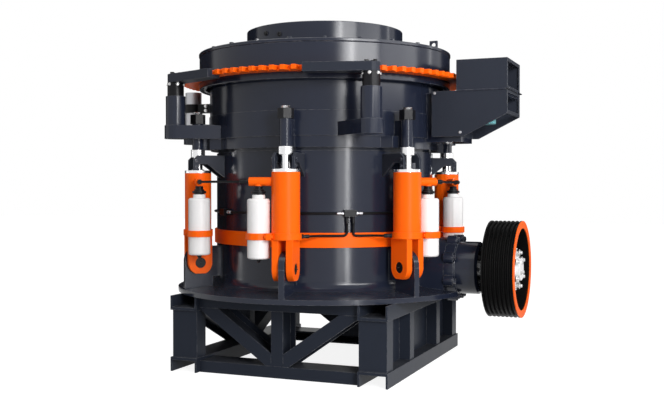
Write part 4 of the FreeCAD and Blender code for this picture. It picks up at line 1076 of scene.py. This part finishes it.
# %% Bolts of the feed plate
FEED_CIRCLE = 0.195
FEED_LEDGE = 0.09
LOCK_SINK = 0.004
feed_low, feed_high = levels("feed_plate")
feed_bolts = [(spot(FEED_CIRCLE, turn, feed_low + FEED_LEDGE), UP) for turn in evenly(6)]
fit_all("feed_plate_bolts", "fixed_frame", "wear_steel", "hex bolt", feed_bolts, across=0.045)
lock = [(spot(0, 0, feed_high - LOCK_SINK), UP)]
fit_all("feed_lock_bolt", "fixed_frame", "wear_steel", "hex bolt", lock, across=0.15)

# %% [markdown]
# Welds join the lugs to the frame, the posts to the ring, the lifting lugs to the cap and the stand's bars to
# each other. A bead is a thin tube that swells and narrows in even steps, as the welder lays one drop after
# another. It follows a line of points. A bump in the paint could draw it, but from near its outline shows, so
# it is modelled.


# %% Weld beads
BEAD_STEP = 0.004
BEAD_SIDES = 6
BEAD_SWELL = 0.14
BEAD_TURN = 2.1
BEAD_END = 0.55
STEEP = 0.9


def bead_points(corners):
    """Points along straight runs between corners, at even steps."""
    points = []
    for start, end in zip(corners, corners[1:]):
        count = max(2, round((end - start).length / BEAD_STEP))
        points += [start.lerp(end, i / count) for i in range(count)]
    return points + [corners[-1]]


def bead_loops(work, points, radius):
    """Rings of vertices round the points, each at right angles to the line."""
    last = len(points) - 1
    turns = [math.tau * k / BEAD_SIDES for k in range(BEAD_SIDES)]
    loops = []
    for i, point in enumerate(points):
        heading = (points[min(i + 1, last)] - points[max(i - 1, 0)]).normalized()
        first = heading.orthogonal() if abs(heading.z) > STEEP else heading.cross(UP)
        first.normalize()
        second = heading.cross(first)
        swell = radius * (1.0 + BEAD_SWELL * math.sin(i * BEAD_TURN)) * (BEAD_END if i in (0, last) else 1.0)
        loops.append([work.verts.new(point + swell * (first * math.cos(t) + second * math.sin(t)))
                      for t in turns])
    return loops


def weld(name, body, slot, lines, radius):
    """Rippled beads along lines of corners, as one piece."""
    work = bmesh.new()
    for corners in lines:
        close_tube(work, bead_loops(work, bead_points([Vector(c) for c in corners]), radius))
    bmesh.ops.recalc_face_normals(work, faces=work.faces)
    for face in work.faces:
        face.smooth = True
    mesh = bpy.data.meshes.new(name)
    work.to_mesh(mesh)
    work.free()
    mesh.materials.append(SLOT_FINISH[slot])
    return new_piece(name, mesh, body)


def turned_line(degrees, points):
    """Points given as outward, aside and up, turned to an angle about the crusher axis."""
    return [outward(degrees) * x + aside(degrees) * y + UP * z for x, y, z in points]


# %% Welds of the frame's lugs
LUG_HALF = 0.0225
LUG_NOSE = 1.21
LUG_GAP = 0.01
lug_foot, lug_top = levels("frame_lugs")
lug_line = [(SHELL_R, LUG_HALF, lug_top - LUG_GAP), (SHELL_R, LUG_HALF, lug_foot),
            (LUG_NOSE, LUG_HALF, lug_foot), (LUG_NOSE, -LUG_HALF, lug_foot),
            (SHELL_R, -LUG_HALF, lug_foot), (SHELL_R, -LUG_HALF, lug_top - LUG_GAP)]
lug_lines = [turned_line(angle, lug_line) for angle in CYLINDERS]
weld("lug_welds", "fixed_frame", "slate_paint", lug_lines, radius=0.006)

# %% Welds of the guide posts
POST_R = 0.078
ROUND_STEPS = 36
post_foot = levels("guide_posts")[0]
post_lines = []
for x, y in POST_PLACES:
    turns = [math.tau * k / ROUND_STEPS for k in range(ROUND_STEPS + 1)]
    post_lines.append([(x + POST_R * math.cos(t), y + POST_R * math.sin(t), post_foot) for t in turns])
weld("post_welds", "lifting_ring", "slate_paint", post_lines, radius=0.0055)

# %% Welds of the lifting lugs
LIFT_IN = 0.949
LIFT_OUT = 1.011
LIFT_HALF = 0.012
LIFT_ANGLES = (-5.0, 175.0)
cap_top = levels("lifting_lugs")[0]
lift_line = [(LIFT_IN, LIFT_HALF, cap_top), (LIFT_OUT, LIFT_HALF, cap_top), (LIFT_OUT, -LIFT_HALF, cap_top),
             (LIFT_IN, -LIFT_HALF, cap_top), (LIFT_IN, LIFT_HALF, cap_top)]
lift_lines = [turned_line(angle, lift_line) for angle in LIFT_ANGLES]
weld("lifting_lug_welds", "bowl_assembly", "slate_paint", lift_lines, radius=0.004)

# %% Welds of the stand's posts
POST_WIDE = 0.218
post_low, post_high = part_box("stand_corner_posts")
stand_lines = []
for side_x in (1, -1):
    outer_x = side_x * post_high[0]
    inner_x = side_x * (post_high[0] - POST_WIDE)
    for side_y in (1, -1):
        y = side_y * post_high[1]
        for z in (post_low[2], post_high[2]):
            stand_lines.append([(outer_x, y, z), (inner_x, y, z)])
weld("stand_welds", "fixed_frame", "stand_paint", stand_lines, radius=0.006)

# %% [markdown]
# The light is plain: an even white world, tall soft panels that draw the long upright highlights on the
# round shell, and a pale floor. The floor and the world show white to the camera and to mirrors, by Light
# Path, and the floor still takes the machine's shadow. In a white room gloss paint also turns white where it
# is seen at a flat angle, so a dark card stands on each side, as in a photo studio. Only reflections see it.


# %% World
def ray_mask(tree):
    """1 for what the camera, a mirror or glass sees directly."""
    path = add(tree, "ShaderNodeLightPath")
    seen = maths(tree, "MAXIMUM", path.outputs["Is Camera Ray"], path.outputs["Is Glossy Ray"])
    return maths(tree, "MAXIMUM", seen, path.outputs["Is Transmission Ray"])


WHITE = (1, 1, 1, 1)
WORLD_LIGHT = 0.43
world = bpy.data.worlds.new("white room")
bpy.context.scene.world = world
world.use_nodes = True
world_tree = world.node_tree
world_back = world_tree.nodes["Background"]
world_back.inputs["Color"].default_value = WHITE
world_strength = spread(world_tree, ray_mask(world_tree), 0.0, 1.0, WORLD_LIGHT, 1.0)
wire(world_tree, world_strength, world_back.inputs["Strength"])
print("world light", WORLD_LIGHT)


# %% Light panels
def face_centre(thing, azimuth, distance, height, pitch=0.0):
    """Place a thing round the crusher axis and turn it to the axis, pitched up by an angle."""
    thing.location = spot(distance, azimuth, height)
    thing.rotation_euler = (math.radians(pitch), 0, math.radians(azimuth) + math.pi / 2)


def panel(name, azimuth, height, distance, wide, tall, power, tilt=0.0):
    """Soft upright light panel that faces the crusher axis; a tilt turns it downwards."""
    data = bpy.data.lights.new(name, "AREA")
    data.shape = "RECTANGLE"
    data.size = wide
    data.size_y = tall
    data.energy = power
    lamp = show(bpy.data.objects.new(name, data))
    face_centre(lamp, azimuth, distance, height, 90 - tilt)
    lamp.visible_camera = False
    return lamp


# Azimuth in degrees, height, distance, width and height of the panel in metres, and power in watts.
PANELS = {
    "key panel": (-46, 2.0, 7.0, 0.36, 4.0, 135),
    "key fringe": (-53, 2.0, 7.0, 0.8, 4.0, 52),
    "left panel": (-160, 1.0, 7.0, 0.5, 1.7, 9),
    "right panel": (34, 2.2, 7.0, 0.4, 4.2, 24),
    "high softbox": (-38, 3.5, 7.0, 3.6, 1.3, 220),
    "high fringe": (-2, 3.5, 7.0, 4.6, 1.3, 86)}
SKY_TILT = 60
lamps = [panel(name, *values) for name, values in PANELS.items()]
lamps.append(panel("sky panel", -110, 7.5, 4.0, 4.0, 4.0, 90, SKY_TILT))
print("lights:", [lamp.name for lamp in lamps])


# %% Dark cards
def dark_card(name, azimuth, distance, wide, tall):
    """Upright dark card that only reflections see; it gives gloss paint a dark edge."""
    mesh = bpy.data.meshes.new(name)
    half = wide / 2
    mesh.from_pydata([(-half, 0, 0), (half, 0, 0), (half, 0, tall), (-half, 0, tall)], [], [(0, 1, 2, 3)])
    mesh.materials.append(rubber_skin)
    card = show(bpy.data.objects.new(name, mesh))
    face_centre(card, azimuth, distance, 0.0)
    card.visible_camera = False
    card.visible_diffuse = False
    card.visible_shadow = False
    return card


cards = [dark_card("left dark card", -208, 6.0, wide=6.4, tall=5.0),
         dark_card("right dark card", 72, 3.4, wide=3.2, tall=4.0)]
print("cards:", [card.name for card in cards])

# %% Floor
FLOOR_HALF = 30.0
FLOOR_DROP = 0.001
FLOOR_GREY = (0.32, 0.32, 0.32, 1)
FLOOR_ROUGHNESS = 0.9
FLOOR_GLOW = 0.88
floor_mesh = bpy.data.meshes.new("floor")
floor_corners = [(x * FLOOR_HALF, y * FLOOR_HALF, 0) for x, y in ((-1, -1), (1, -1), (1, 1), (-1, 1))]
floor_mesh.from_pydata(floor_corners, [], [(0, 1, 2, 3)])
floor = show(bpy.data.objects.new("floor", floor_mesh))
floor.location.z = -FLOOR_DROP
floor_paint = bpy.data.materials.new("pale floor")
floor_paint.use_nodes = True
floor_tree = floor_paint.node_tree
floor_shader = floor_tree.nodes["Principled BSDF"]
floor_shader.inputs["Base Color"].default_value = FLOOR_GREY
floor_shader.inputs["Roughness"].default_value = FLOOR_ROUGHNESS
floor_glow = maths(floor_tree, "MULTIPLY", ray_mask(floor_tree), FLOOR_GLOW)
wire(floor_tree, floor_glow, floor_shader.inputs["Emission Strength"])
floor_shader.inputs["Emission Color"].default_value = WHITE
floor_mesh.materials.append(floor_paint)
print("floor", 2 * FLOOR_HALF, "m wide")
